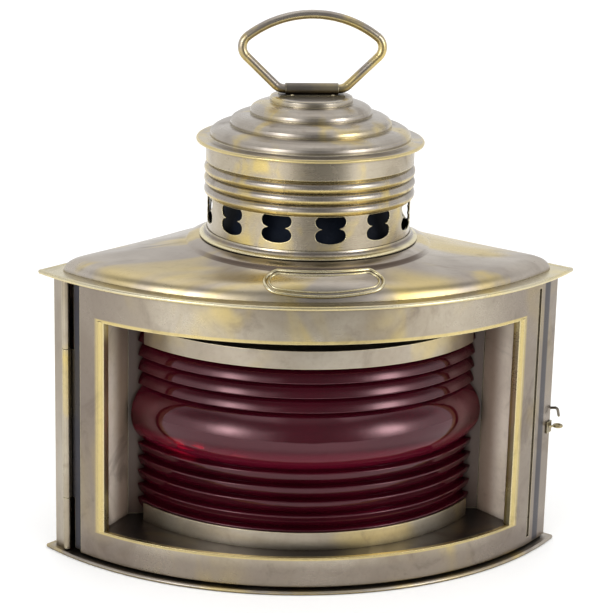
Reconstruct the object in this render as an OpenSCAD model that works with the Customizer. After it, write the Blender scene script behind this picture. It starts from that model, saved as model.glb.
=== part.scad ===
/* [Body plan] */
// Radius of the curved front, outside
front_r = 156; // [140:1:180]
// From the chimney axis to the middle of the curved front
front_reach = 74; // [68:1:84]
// Half width across the two front corners
corner_half = 126; // [112:0.5:136]
// Angle of the side walls from the front-to-back line
side_angle = 45; // [38:1:52]
// From the chimney axis to the outside of the back plate
back_reach = 78; // [70:1:90]
// Thickness of the body sheet
wall_t = 1.2; // [0.8:0.1:2]
// Width of the left corner strip on the front
left_strip_w = 6.2; // [4:0.1:7.2]
// Width of the folded strip inside the right wall and of the back returns
return_w = 9; // [6:0.5:14]

/* [Heights] */
// Thickness of the base plate
base_t = 1.6; // [1:0.1:3]
// Height of the body walls
wall_h = 142.3; // [120:0.1:170]
// Thickness of the top flange plate
flange_t = 1.4; // [1:0.1:2.5]
// Top flange beyond the walls
top_overhang = 5; // [3:0.5:10]
// Base flange beyond the walls
base_overhang = 3; // [2:0.2:8]
// Radius of the rolled edge on the top flange
top_roll_r = 1.1; // [0.9:0.1:1.8]
// Radius of the rolled edge on the base
base_roll_r = 1; // [0.9:0.1:1.6]

/* [Base] */
// Diameter of each air hole in the base
air_hole_d = 6; // [3:0.5:8]
// Number of air holes
air_hole_count = 16; // [8:1:20]
// Radius of the ring of air holes
air_ring_r = 49; // [46:1:53]

/* [Roof] */
// Foot of the dome inside the walls
dome_inset = 2.4; // [1.6:0.2:6]
// Height of the dome above the top flange
dome_h = 15.4; // [10:0.2:24]
// Thickness of the roof sheet
roof_t = 1.2; // [0.8:0.1:2]
// Height gained in the rounded edge of the dome
dome_edge_h = 7; // [4:0.5:9.5]
// Width of the rounded edge of the dome
dome_edge_w = 10; // [4:0.5:14]
// Radius of the flat ring round the chimney
pad_r = 56.4; // [56:0.2:60]
// Height of the step at the rim of that ring
pad_step = 0.9; // [0.3:0.1:1.5]
// Length of the oval border on the roof front
border_len = 56.6; // [40:0.2:70]
// Height of the oval border, measured on the slope
border_h = 14.4; // [10:0.2:15]
// From the chimney axis to the middle of the border
border_mid = 63.4; // [62:0.2:65]
// Sideways place of the border
border_shift = 1.2; // [-3:0.1:3]
// Radius of the raised bead of the oval border
border_bead_r = 1; // [0.6:0.1:1.3]

/* [Chimney] */
// Outside radius of the drum
drum_r = 50.4; // [44:0.2:52]
// Thickness of the drum sheet
drum_t = 1; // [0.6:0.1:1.6]
// Height of the drum
drum_h = 48.5; // [42:0.5:60]
// Radius of the chimney foot collar
collar_r = 54.2; // [53:0.1:56]
// Height of the foot collar
collar_h = 4.2; // [3.6:0.2:8]
// Number of beads round the drum
bead_count = 3; // [1:1:4]
// Height of one bead
bead_h = 5.45; // [4:0.05:6.5]
// How far a bead stands out
bead_out = 1.8; // [0.6:0.1:2.6]
// Lower edge of the lowest bead above the drum foot
bead_foot = 20.9; // [19:0.1:24]
// Number of vents round the drum
vent_count = 12; // [6:1:14]
// Turn of the ring of vents
vent_turn = 6; // [0:1:30]
// Half width of a vent lobe
vent_half_w = 7.5; // [4:0.1:8]
// Half height of a vent lobe
vent_half_h = 4; // [3:0.1:5]
// Distance between the two lobe centres of a vent
vent_lobe_gap = 6.8; // [5:0.1:7.6]
// Height of the lower lobe centre above the drum foot
vent_foot = 11.4; // [10:0.1:13]

/* [Cap] */
// Outside radius of the cap rim
cap_rim_r = 56.3; // [54:0.1:60]
// Height of the cap above the drum
cap_h = 22; // [18:0.5:30]
// Radius of the flat top of the cap
cap_top_r = 20.4; // [18:0.2:24]
// Number of rounded steps under the flat top
cap_steps = 3; // [2:1:4]
// Thickness of the cap sheet
cap_t = 1; // [0.8:0.1:1.6]

/* [Bail] */
// Diameter of the bail wire
bail_d = 4.4; // [3:0.1:5.2]
// Height of the wire's centre at the crown above its pivot
bail_rise = 36.5; // [30:0.5:50]
// Radius of the crown arc
bail_crown_r = 52; // [46:1:60]
// Half angle of the crown arc
bail_crown_angle = 37.7; // [35:0.1:42]
// Radius of the bend at each shoulder
bail_shoulder_r = 6.5; // [5:0.5:9]
// Radius of the bend at each foot
bail_foot_r = 7; // [5:0.5:9]
// Angle of the bail's legs from the vertical
bail_leg_angle = 46; // [40:1:50]
// Length of the rolled strap that carries the bail
strap_len = 26; // [16:1:29]
// Wall of the rolled strap
strap_t = 0.6; // [0.5:0.1:1.4]
// Running clearance between the wire and the strap, on the radius
bail_play = 0.08; // [0.04:0.01:0.1]

/* [Door] */
// Thickness of the door sheet
door_t = 1.5; // [1:0.1:2.2]
// Gap over and under the door
door_gap = 1.2; // [0.6:0.1:2]
// From the left corner to the edge of the door
door_in = 19.3; // [17.2:0.1:24]
// From each front corner to the window opening
stile_w = 35.6; // [32.4:0.2:54]
// Lower edge of the window opening above the base
window_low = 16.4; // [12:0.2:24]
// From the top of the upper lens channel to the window's ceiling
window_over = 6.1; // [3:0.1:9]
// Radius of the rounded fold at each side of the window
fold_r = 2.8; // [1.5:0.1:3.5]
// From the right corner to the groove in the door
groove_in = 19.3; // [13.4:0.1:21.4]
// Width of that groove
groove_w = 2.2; // [1:0.1:4]
// Depth of that groove
groove_depth = 0.8; // [0.3:0.1:0.9]
// Clearance behind the door where it meets the right wall
door_seat_gap = 0.3; // [0.2:0.05:0.6]

/* [Lens] */
// From the chimney axis back to the centre of the lens arc
lens_centre_y = 34; // [28:1:38]
// Radius of the lens at its grooves
lens_r = 93; // [86:1:94]
// Thickness of the glass at its grooves
lens_t = 7; // [4:0.5:9]
// Half angle of the lens arc
lens_half = 61; // [50:1:62]
// Smooth edge of the glass beyond the ribs
glass_edge = 1.3; // [0.8:0.1:3]
// Height of the central belt
belt_h = 22.5; // [18:0.5:28]
// How far the belt stands out
belt_out = 8; // [4:0.5:9]
// Height of the belt's middle above the middle of the glass
belt_rise = 0; // [-2:0.2:3]
// Pitch of the ribs
rib_pitch = 7.35; // [6:0.05:7.6]
// Number of ribs above and below the belt
rib_count = 5; // [3:1:5]
// How far a rib stands out
rib_out = 4; // [1:0.1:5]
// Height of each lens channel
channel_h = 9; // [6:0.5:12]
// Outside of the lens channels beyond the grooves of the glass
channel_out = 5.6; // [5.4:0.2:7]
// Angle by which each end of the channels stops short of the glass
channel_short = 4.5; // [1:0.5:8]
// Thickness of the channel and window sheets
channel_t = 1.1; // [0.8:0.1:1.6]
// Play between the glass and its channels
lens_play = 0.3; // [0.2:0.05:0.6]

/* [Hinge] */
// From the left corner to the hinge pin
hinge_in = 9.45; // [9:0.1:10.2]
// Outside radius of the knuckles
knuckle_r = 2; // [1.8:0.05:2.2]
// Radius of the hinge pin
pin_r = 1; // [0.8:0.05:1.2]
// Running clearance on the pin, on the radius
pin_play = 0.06; // [0.03:0.01:0.1]
// Thickness of the hinge leaves
leaf_t = 1; // [0.8:0.1:1.2]
// How far the hinge leaf laps behind the door
leaf_lap = 6.5; // [5:0.1:9]
// Height of the lower knuckle
knuckle_low = 26.4; // [15:0.5:40]
// Height of the middle knuckle
knuckle_mid = 77.6; // [50:0.5:85]
// Gap between knuckles
knuckle_gap = 0.3; // [0.2:0.05:0.5]

/* [Latch] */
// Height of the latch eye above the base plate
latch_z = 60.4; // [40:1:90]
// Wire radius of the hook and the eye
latch_wire_r = 0.7; // [0.5:0.05:0.9]
// Radius of the eye's ring, at the middle of its wire
latch_eye_r = 2; // [1.9:0.1:2.6]
// From the front corner back to the hook's pivot
latch_reach = 20; // [14:1:30]
// How far the resting hook is lifted clear of the eye
latch_lift = 14; // [13:0.5:20]
// From the right corner in to the foot of the eye
latch_foot_in = 1.5; // [1:0.1:4]
// Distance of the hook from the wall
latch_stand = 2.7; // [2.2:0.1:3.5]
// Radius of the pivot stud
latch_stud_r = 1.2; // [1:0.05:1.4]
// Running clearance on the pivot stud, on the radius
latch_play = 0.08; // [0.04:0.01:0.1]

/* [Back] */
// Width of the slot in the rear hanging socket
socket_w = 26; // [18:1:34]
// Depth of that slot
socket_d = 6; // [5:0.5:9]
// Height of the socket
socket_h = 60; // [40:1:90]
// Thickness of the socket sheet
socket_t = 1.6; // [1.2:0.1:2.4]
// Width of each flange of the socket
socket_flange = 10; // [8:0.5:14]
// Radius of the rivet heads
rivet_r = 2; // [1.4:0.1:2.6]

/* [Oil font] */
// From the chimney axis back to the font axis
font_y = 16; // [8:1:20]
// Radius of the font
font_r = 38.5; // [36:0.5:40]
// Height of the font
font_h = 32; // [26:0.5:34]
// Thickness of the font sheet
font_t = 1; // [0.8:0.1:1.6]
// Height of the seat ring
seat_h = 5; // [3:0.5:8]
// Clearance between the font and its seat ring
seat_play = 0.6; // [0.4:0.1:1.2]
// Radius of the filler neck
filler_r = 5.6; // [4.5:0.1:6]
// Height of the filler neck
filler_h = 5; // [4:0.5:7]
// Running clearance of the filler cap, on the radius
filler_play = 0.08; // [0.04:0.01:0.1]
// Radius of the burner
burner_r = 13; // [11:0.5:14]
// Height of the flame above the base plate
flame_z = 68.4; // [64:0.5:74]
// Width of the wick
wick_w = 14; // [10:0.5:16]
// Thickness of the wick
wick_t = 2.4; // [1.6:0.1:3]
// Clearance round the wick in its tube
wick_play = 0.3; // [0.2:0.05:0.5]
// Radius of the wick wheel
wheel_r = 3.2; // [2.6:0.1:3.4]
// Radius of the wick spindle
spindle_r = 1; // [0.7:0.1:1.3]
// Running clearance of the spindle, on the radius
spindle_play = 0.08; // [0.04:0.01:0.1]
// Radius of the wick knob
knob_r = 5.5; // [4:0.5:8]
// From the burner axis sideways to the wick knob
knob_reach = 27; // [22:1:30]

/* [Hidden] */
$fn = 96;

brass = "#a89c86";
gold = "#c0ad6c";
dark_brass = "#6d6250";
red_glass = "#6a0f22";
cotton = "#d8d0bc";

arc_y = front_r - front_reach;
corner_y = arc_y - sqrt(front_r * front_r - corner_half * corner_half);
side_n = [cos(side_angle), sin(side_angle)];
side_c = side_n * [corner_half, corner_y];
roll_ball = 0.06;
wire_ball = 0.05;
base_low = base_roll_r + roll_ball - base_t / 2;
base_top = base_low + base_t;
wall_top = base_top + wall_h;
flange_top = wall_top + flange_t;
drum_foot = flange_top + dome_h;
drum_top = drum_foot + drum_h;
cap_top = drum_top + cap_h;
bail_r = bail_d / 2;
strap_r = bail_r + bail_play + strap_t;
strap_foot_t = 0.5;
bail_z = cap_top + strap_foot_t + 0.2 + bail_r + bail_play;
dome_hole_r = drum_r - drum_t - 2.6;
corner_a = asin(corner_half / front_r);
past_corner = corner_a + 6;
left_strip_edge = from_corner(left_strip_w);
door_left = from_corner(door_in);
window_half = from_corner(stile_w);
groove_at = from_corner(groove_in);
hinge_at = from_corner(hinge_in);
channel_r = lens_r + channel_out;
burner_lip = 1.6;
washer_rim = 2;
filler_gap = 0.8;
filler_x = burner_r + burner_lip + filler_gap + washer_rim + filler_r;
door_low = base_top + door_gap;
door_top = wall_top - door_gap;
lens_h = belt_h + 2 * (abs(belt_rise) + rib_count * rib_pitch + glass_edge);
window_h = lens_h + 2 * (channel_t + lens_play) + window_over;
window_z = base_top + window_low;
lens_mid = window_z + channel_t + lens_play + lens_h / 2;
far = 400;

// Angle on the front arc of a point that lies w inside the corner
function from_corner(w) = corner_a - w / front_r * 180 / PI;
function side_x(y, o) = (side_c + o - side_n[1] * y) / side_n[0];
function on_front(a, r) = [r * sin(a), arc_y - r * cos(a)];

// Outline of the body seen from above, grown by o
module plan(o) {
    intersection() {
        translate([0, arc_y]) circle(r = front_r + o, $fn = 180);
        polygon([[-side_x(-far, o), -far], [side_x(-far, o), -far],
            [side_x(back_reach + o, o), back_reach + o], [-side_x(back_reach + o, o), back_reach + o]]);
    }
}

// A strip of the front arc between two radii and two angles
module arc_strip(r1, r2, a1, a2) {
    intersection() {
        translate([0, arc_y]) difference() {
            circle(r = r2, $fn = 180);
            circle(r = r1, $fn = 180);
        }
        polygon([[0, arc_y], on_front(a1, far), on_front((a1 + a2) / 2, far * 1.3), on_front(a2, far)]);
    }
}

// Rolled wire edge that follows the body outline
module rolled_edge(o, r, z) {
    front = front_r + o;
    tip = on_edge(o);
    a = atan2(tip[0], arc_y - tip[1]);
    back = [side_x(back_reach + o, o), back_reach + o];
    translate([0, arc_y, z]) rotate(-90 - a) rotate_extrude(angle = 2 * a, $fn = 180)
        translate([front, 0]) circle(r = r, $fn = 24);
    for (s = [-1, 1]) {
        rod([s * tip[0], tip[1], z], [s * back[0], back[1], z], r);
        translate([s * tip[0], tip[1], z]) sphere(r = r + roll_ball, $fn = 24);
        translate([s * back[0], back[1], z]) sphere(r = r + roll_ball, $fn = 24);
    }
    rod([-back[0], back[1], z], [back[0], back[1], z], r);
}

// Corner where the front arc, grown by o, meets the side line, grown by o
function on_edge(o) = let (
        r = front_r + o,
        d = side_c + o - side_n[1] * arc_y,
        t = sqrt(r * r - d * d)
    ) [side_n[0] * d + side_n[1] * t, arc_y + side_n[1] * d - side_n[0] * t];

// Round bar between two points
module rod(p, q, r) {
    v = q - p;
    translate(p) rotate([0, acos(v[2] / norm(v)), atan2(v[1], v[0])]) cylinder(r = r, h = norm(v), $fn = 32);
}

// Low dome of a rivet head, on the plane z = 0
module rivet_head(r) {
    rotate_extrude($fn = 32) intersection() {
        translate([0, -r * 0.75]) circle(r = r * 1.25, $fn = 48);
        square([r * 1.3, r]);
    }
}

module base_plate() color(brass) {
    difference() {
        translate([0, 0, base_low]) linear_extrude(base_t) plan(base_overhang);
        for (i = [0 : air_hole_count - 1])
            translate([0, font_y]) rotate(360 * i / air_hole_count) translate([air_ring_r, 0, -1])
                cylinder(d = air_hole_d, h = base_t + 2, $fn = 32);
    }
    rolled_edge(base_overhang, base_roll_r, base_roll_r + roll_ball);
}

module font_seat() color(dark_brass) {
    inner = font_r + seat_play;
    translate([0, font_y, base_top]) rotate_extrude() polygon([[inner, 0], [inner + 5, 0], [inner + 5, 0.8],
        [inner + 1, 0.8], [inner + 1, seat_h], [inner, seat_h]]);
}

// Side wall of the right side: corner, wall and the return behind the back plate
module side_wall_outline() {
    back_inner = back_reach - wall_t;
    intersection() {
        difference() {
            plan(0);
            plan(-wall_t);
        }
        polygon([[0, back_inner], [far, back_inner], [far, corner_y], [corner_half - 0.2, corner_y],
            on_edge(-wall_t) - [1.2, 0.4], [0, corner_y + 20]]);
    }
    x = side_x(back_inner, -wall_t);
    translate([x - return_w, back_inner - wall_t]) square([return_w + wall_t * 0.3, wall_t]);
}

module left_side_wall() color(brass) {
    translate([0, 0, base_top]) linear_extrude(wall_h) {
        mirror([1, 0]) side_wall_outline();
        intersection() {
            arc_strip(front_r - wall_t, front_r, -past_corner, -left_strip_edge);
            plan(0);
        }
    }
}

module right_side_wall() color(brass) {
    seat_r = front_r - door_t - door_seat_gap;
    translate([0, 0, base_top]) linear_extrude(wall_h) {
        intersection() {
            side_wall_outline();
            translate([0, arc_y]) circle(r = seat_r, $fn = 180);
        }
        intersection() {
            arc_strip(seat_r - wall_t, seat_r, from_corner(return_w), past_corner);
            plan(0);
        }
    }
}

module back_plate() color(brass) {
    w = side_x(back_reach - wall_t, 0);
    translate([-w, back_reach - wall_t, base_top]) cube([2 * w, wall_t, wall_h]);
}

module rear_socket() color(brass) {
    out_w = socket_w + 2 * socket_t;
    full_w = out_w + 2 * socket_flange;
    z = base_top + (wall_h - socket_h) / 2;
    translate([0, back_reach, z]) difference() {
        union() {
            translate([-full_w / 2, 0, 0]) cube([full_w, socket_t, socket_h]);
            translate([-out_w / 2, 0, 0]) cube([out_w, socket_d + socket_t, socket_h]);
        }
        translate([-socket_w / 2, -1, -1]) cube([socket_w, socket_d + 1, socket_h + 2]);
    }
}

module back_rivets() color(gold) {
    x = socket_w / 2 + socket_t + socket_flange / 2;
    z0 = base_top + (wall_h - socket_h) / 2;
    for (s = [-1, 1], k = [0 : 2])
        translate([s * x, back_reach + socket_t, z0 + socket_h * (0.15 + 0.35 * k)]) rotate([-90, 0, 0])
            rivet_head(rivet_r);
    seam = side_x(back_reach - wall_t, -wall_t) - return_w / 2;
    for (s = [-1, 1], k = [0 : 1])
        translate([s * seam, back_reach, base_top + wall_h * (0.06 + 0.88 * k)]) rotate([-90, 0, 0])
            rivet_head(rivet_r * 0.8);
}

module top_flange() color(brass) {
    translate([0, 0, wall_top]) linear_extrude(flange_t) difference() {
        plan(top_overhang);
        plan(-dome_inset - 6);
    }
    rolled_edge(top_overhang, top_roll_r, wall_top + flange_t / 2);
}

// Distance from the chimney axis to the dome's foot in direction a, measured from the front
function foot_r(a, inset) = let (
        r = front_r - inset,
        c = cos(a),
        front = -arc_y * c + sqrt(arc_y * arc_y * c * c + r * r - arc_y * arc_y),
        side_dot = side_n[0] * abs(sin(a)) - side_n[1] * c,
        side = side_dot > 0.05 ? (side_c - inset) / side_dot : far,
        back = -c > 0.05 ? (back_reach - inset) / -c : far,
        p = 60
    ) pow(pow(front, -p) + pow(side, -p) + pow(back, -p), -1 / p);

// Directions of the roof's rows of points: closer together where the outline turns
roof_tip = on_edge(-dome_inset);
roof_tip_a = atan2(roof_tip[0], -roof_tip[1]);
roof_back_y = back_reach - dome_inset;
roof_back_a = atan2(side_x(roof_back_y, -dome_inset), -roof_back_y);
half_turn = concat(
    [for (k = [0 : 11]) (roof_tip_a - 4) * k / 11],
    [roof_tip_a - 1.4, roof_tip_a, roof_tip_a + 1.4],
    [for (k = [0 : 6]) roof_tip_a + 4 + (roof_back_a - roof_tip_a - 9) * k / 6],
    [roof_back_a - 2, roof_back_a, roof_back_a + 2, roof_back_a + 6, 180]);
roof_turn = concat(half_turn, [for (k = [len(half_turn) - 2 : -1 : 1]) 360 - half_turn[k]]);

dome_rows = [0, 0.04, 0.16, 0.36, 0.64, 1];
slope_rows = [0.25, 0.5, 0.75, 1];
slope_foot_r = pad_r + 1.2;

// Radius and height of row k of the roof in direction a, for the outer or the inner face
function roof_point(a, k, inset, drop) = let (
        r0 = foot_r(a, inset),
        edge_w = min(dome_edge_w, 0.5 * (r0 - slope_foot_r)),
        n = len(dome_rows),
        last = n + len(slope_rows),
        h1 = dome_edge_h,
        h2 = dome_h - pad_step,
        s = k < n ? dome_rows[k] : k < last ? slope_rows[k - n] : 1,
        r = k < n ? r0 - s * edge_w
            : k < last ? (r0 - edge_w) + s * (slope_foot_r - (r0 - edge_w))
            : k == last ? pad_r : dome_hole_r,
        h = k < n ? h1 * sqrt(1 - pow(1 - s, 2))
            : k < last ? h1 + (h2 - h1) * (0.8 * s + 0.2 * s * s)
            : dome_h
    ) [r, h * (dome_h - drop) / dome_h];

module roof_dome() color(brass) {
    turns = len(roof_turn);
    rows = len(dome_rows) + len(slope_rows) + 2;
    outer = [for (a = roof_turn, k = [0 : rows - 1])
        let (p = roof_point(a, k, dome_inset, 0)) [p[0] * sin(a), -p[0] * cos(a), flange_top + p[1]]];
    inner = [for (a = roof_turn, k = [0 : rows - 1])
        let (p = roof_point(a, k, dome_inset + roof_t, roof_t))
            [p[0] * sin(a), -p[0] * cos(a), flange_top + p[1]]];
    m = turns * rows;
    faces = [for (i = [0 : turns - 1]) let (p = i * rows, q = ((i + 1) % turns) * rows) each concat(
        [for (k = [0 : rows - 2]) each [
            [p + k, p + k + 1, q + k + 1],
            [p + k, q + k + 1, q + k],
            [m + p + k, m + q + k + 1, m + p + k + 1],
            [m + p + k, m + q + k, m + q + k + 1]]],
        [[p, q, m + q], [p, m + q, m + p],
            [p + rows - 1, m + q + rows - 1, q + rows - 1],
            [p + rows - 1, m + p + rows - 1, m + q + rows - 1]])];
    polyhedron(points = concat(outer, inner), faces = faces);
}

// Height of the roof surface over a point of the plan
function roof_z(x, y) = let (
        a = atan2(x, -y),
        r = norm([x, y]),
        pts = [for (k = [0 : len(dome_rows) + len(slope_rows)]) roof_point(a, k, dome_inset, 0)],
        radii = [for (i = [len(pts) - 1 : -1 : 0]) [pts[i][0], pts[i][1]]]
    ) flange_top + lookup(r, radii);

// Path of the oval border on the flat slope, as t runs from 0 to 1
function flat_path(t) = let (
        straight = border_len - border_h,
        rr = border_h / 2,
        half = PI * rr,
        d = t * 2 * (straight + half)
    ) d < straight ? [-straight / 2 + d, -rr]
        : d < straight + half ? let (w = (d - straight) / half * 180)
            [straight / 2 + rr * sin(w), -rr * cos(w)]
        : d < 2 * straight + half ? [straight / 2 - (d - straight - half), rr]
        : let (w = (d - 2 * straight - half) / half * 180)
            [-straight / 2 - rr * sin(w), rr * cos(w)];

border_seat = 0.33;
border_slope = atan2(dome_h - pad_step, foot_r(0, dome_inset) - slope_foot_r);

// The same path laid on the roof
function border_point(t) = let (
        q = flat_path(t),
        a = q[0] / border_mid * 180 / PI * 0.94,
        bow = foot_r(a, dome_inset) - foot_r(0, dome_inset),
        r = border_mid - q[1] * cos(border_slope) + 0.5 * bow,
        x = r * sin(a) + border_shift,
        y = -r * cos(a)
    ) [x, y, roof_z(x, y) + border_seat];

module label_border() color(gold) {
    n = 56;
    sides = 7;
    centre = [for (i = [0 : n - 1]) border_point(i / n)];
    up = [0, -0.68, 0.73];
    points = [for (i = [0 : n - 1]) let (
            t = centre[(i + 1) % n] - centre[(i + n - 1) % n],
            side = cross(t, up) / norm(cross(t, up)),
            top = cross(side, t) / norm(cross(side, t))
        ) for (j = [0 : sides - 1]) let (w = 180 * j / (sides - 1))
            centre[i] + border_bead_r * (side * cos(w) + top * sin(w))];
    faces = [for (i = [0 : n - 1], j = [0 : sides - 1]) let (
            p = i * sides,
            q = ((i + 1) % n) * sides,
            j2 = (j + 1) % sides
        ) each [[p + j, q + j2, p + j2], [p + j, q + j, q + j2]]];
    polyhedron(points = points, faces = faces);
}

module chimney_collar() color(gold) {
    inner = drum_r + 0.1;
    translate([0, 0, drum_foot]) rotate_extrude($fn = 180) {
        polygon([[inner, 0], [collar_r - 0.6, 0], [collar_r, 0.5], [collar_r, 1.1], [collar_r - 0.8, 1.6],
            [collar_r - 1.8, 1.9], [inner + 1.2, 2.5], [inner + 0.7, 3.3], [inner + 0.5, collar_h],
            [inner, collar_h]]);
    }
}

// One lobe of a vent: an oval drawn with four arcs
module vent_lobe() {
    end_r = vent_half_h * 0.8;
    end_x = vent_half_w - end_r;
    big_r = (end_x * end_x + vent_half_h * vent_half_h - end_r * end_r) / (2 * (vent_half_h - end_r));
    tangent_x = end_x * big_r / (big_r - end_r);
    for (s = [-1, 1]) translate([s * end_x, 0]) circle(r = end_r, $fn = 48);
    intersection() {
        translate([0, vent_half_h - big_r]) circle(r = big_r, $fn = 96);
        translate([0, big_r - vent_half_h]) circle(r = big_r, $fn = 96);
        translate([-tangent_x, -vent_half_h]) square([2 * tangent_x, 2 * vent_half_h]);
    }
}

module chimney_drum() color(brass) {
    inner = drum_r - drum_t;
    bead_top = bead_foot + bead_count * bead_h;
    difference() {
        translate([0, 0, drum_foot]) rotate_extrude($fn = 180) {
            difference() {
                union() {
                    translate([inner, 0]) square([drum_t, drum_h]);
                    for (k = [0 : bead_count - 1]) intersection() {
                        translate([drum_r + bead_out - bead_arc_r(), bead_foot + (k + 0.5) * bead_h])
                            circle(r = bead_arc_r(), $fn = 64);
                        translate([inner, bead_foot + k * bead_h]) square([drum_t + 6, bead_h]);
                    }
                    translate([inner, bead_top]) polygon([[0, 0], [drum_t, 0], [drum_t + 1.1, 1.2],
                        [drum_t + 1.1, drum_h - bead_top], [0, drum_h - bead_top]]);
                }
                for (k = [0 : bead_count - 1]) intersection() {
                    translate([inner + bead_out - bead_arc_r(), bead_foot + (k + 0.5) * bead_h])
                        circle(r = bead_arc_r(), $fn = 64);
                    translate([inner - 1, bead_foot + k * bead_h + 0.4]) square([drum_t + 6, bead_h - 0.8]);
                }
            }
        }
        for (i = [0 : vent_count - 1]) rotate(vent_turn + 360 * i / vent_count) intersection() {
            translate([0, -inner + 5, drum_foot + vent_foot]) rotate([90, 0, 0]) linear_extrude(12) {
                vent_lobe();
                translate([0, vent_lobe_gap]) vent_lobe();
            }
            translate([-20, -far, 0]) cube([40, far, drum_foot + bead_foot - 0.2]);
        }
    }
}
function bead_arc_r() = (bead_out * bead_out + bead_h * bead_h / 4) / (2 * bead_out);

module draught_funnel() color(dark_brass) {
    foot = drum_r - drum_t - 0.2;
    top_r = foot * 0.62;
    top_z = drum_h * 0.78;
    translate([0, 0, drum_foot]) rotate_extrude($fn = 120)
        polygon([[foot, 0], [foot, 0.8], [foot - 1.5, 0.8],
            [top_r + 0.8, top_z], [top_r, top_z], [foot - 3, 0]]);
}

// Outer profile of the cap: flat top, rounded steps, then the flared rim
function cap_profile() = let (
        skirt_r = cap_rim_r - 6.7,
        foot_z = 1.8,
        ledge_z = cap_h - 3.1,
        drop = (ledge_z - foot_z) / cap_steps,
        width = (skirt_r - cap_top_r) / cap_steps
    ) concat(
        [[0, cap_h], [cap_top_r - 1.6, cap_h], [cap_top_r - 0.4, cap_h - 0.4], [cap_top_r, cap_h - 1.2],
            [cap_top_r, ledge_z + 0.1]],
        [for (k = [0 : cap_steps - 1], a = [0 : 15 : 90]) let (
                r1 = cap_top_r + k * width + (k == 0 ? 0.3 : 0),
                r2 = cap_top_r + (k + 1) * width,
                z1 = ledge_z - k * drop
            ) [r1 + (r2 - r1) * sin(a), z1 - 0.8 * drop * (1 - cos(a))]],
        [[skirt_r, foot_z], [skirt_r + 0.3, 1.5], [skirt_r + 1.6, 1.1], [cap_rim_r - 1.2, 1],
            [cap_rim_r - 0.4, 0.8], [cap_rim_r, 0.2], [cap_rim_r - 0.1, -0.5], [cap_rim_r - 0.8, -0.8],
            [cap_rim_r - 1.6, -0.4], [drum_r + 2.2, 0]]);

module cap() color(brass) {
    inner_r = drum_r - drum_t;
    hollow_top = cap_h - cap_t - 1.2;
    translate([0, 0, drum_top]) rotate_extrude($fn = 180) polygon(concat(
        cap_profile(),
        [[drum_r + 1.4, 0], [inner_r, 0], [inner_r - 1.2, 0.6], [inner_r * 0.8, cap_h * 0.26],
            [inner_r * 0.6, cap_h * 0.52], [inner_r * 0.41, cap_h * 0.74], [0, hollow_top]]));
}

module bail_strap() color(brass) {
    foot_l = strap_len + 6;
    foot_w = 11;
    difference() {
        union() {
            translate([-strap_len / 2, 0, bail_z]) rotate([0, 90, 0]) cylinder(r = strap_r, h = strap_len);
            translate([-strap_len / 2, -1.6, cap_top]) cube([strap_len, 3.2, bail_z - cap_top]);
            translate([-foot_l / 2, -foot_w / 2, cap_top]) cube([foot_l, foot_w, strap_foot_t]);
        }
        translate([-strap_len, 0, bail_z]) rotate([0, 90, 0])
            cylinder(r = bail_r + bail_play, h = 2 * strap_len);
    }
}

module strap_rivets() color(gold) {
    for (s = [-1, 1]) translate([s * (strap_len / 2 - 3), -4.1, cap_top + strap_foot_t]) rivet_head(1.1);
    for (s = [-1, 1]) translate([s * (strap_len / 2 - 3), 4.1, cap_top + strap_foot_t]) rivet_head(1.1);
}

// Bail: crown arc, two shoulder bends, two straight legs, two foot bends and the bar in the strap
module bail() color(gold) {
    a = bail_leg_angle;
    c = bail_crown_angle;
    crown_z = bail_z + bail_rise - bail_crown_r;
    crown_end = [bail_crown_r * sin(c), crown_z + bail_crown_r * cos(c)];
    shoulder = crown_end - bail_shoulder_r * [sin(c), cos(c)];
    leg_top = shoulder + bail_shoulder_r * [cos(a), -sin(a)];
    foot_z = bail_z + bail_foot_r * (1 - sin(a));
    leg_low = [leg_top[0] - (leg_top[1] - foot_z) * tan(a), foot_z];
    foot_x = leg_low[0] - bail_foot_r * cos(a);
    wire_arc([0, crown_z], bail_crown_r, 90 - c, 90 + c);
    for (s = [-1, 1]) {
        translate([s * foot_x, 0, bail_z]) sphere(r = bail_r + wire_ball, $fn = 48);
        translate([s * leg_low[0], 0, leg_low[1]]) sphere(r = bail_r + wire_ball, $fn = 48);
        translate([s * leg_top[0], 0, leg_top[1]]) sphere(r = bail_r + wire_ball, $fn = 48);
        translate([s * crown_end[0], 0, crown_end[1]]) sphere(r = bail_r + wire_ball, $fn = 48);
        rod([s * leg_top[0], 0, leg_top[1]], [s * leg_low[0], 0, leg_low[1]], bail_r);
    }
    wire_arc(shoulder, bail_shoulder_r, -a, 90 - c);
    wire_arc([-shoulder[0], shoulder[1]], bail_shoulder_r, 90 + c, 180 + a);
    wire_arc([foot_x, bail_z + bail_foot_r], bail_foot_r, -90, -a);
    wire_arc([-foot_x, bail_z + bail_foot_r], bail_foot_r, 180 + a, 270);
    translate([-foot_x, 0, bail_z]) rotate([0, 90, 0]) cylinder(r = bail_r, h = 2 * foot_x, $fn = 48);
}

// Bent wire in the plane y = 0, from angle a1 to a2 about centre c
module wire_arc(c, r, a1, a2) {
    translate([c[0], 0, c[1]]) rotate([90, 0, 0]) rotate(a1) rotate_extrude(angle = a2 - a1, $fn = 96)
        translate([r, 0]) circle(r = bail_r, $fn = 48);
}

hinge_xy = on_front(-hinge_at, front_r);
leaf_corner = on_edge(-wall_t - leaf_t - 0.1);
leaf_end = atan2(leaf_corner[0], arc_y - leaf_corner[1]);
leaf_rivet_a = (leaf_end + left_strip_edge) / 2;
hinge_low = door_low + 0.4;
hinge_mid = hinge_low + knuckle_low + knuckle_gap;
hinge_high = hinge_mid + knuckle_mid + knuckle_gap;
hinge_top = door_top - 0.6;

module knuckle(z1, z2) {
    translate([hinge_xy[0], hinge_xy[1], z1]) cylinder(r = knuckle_r, h = z2 - z1, $fn = 48);
}

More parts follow.
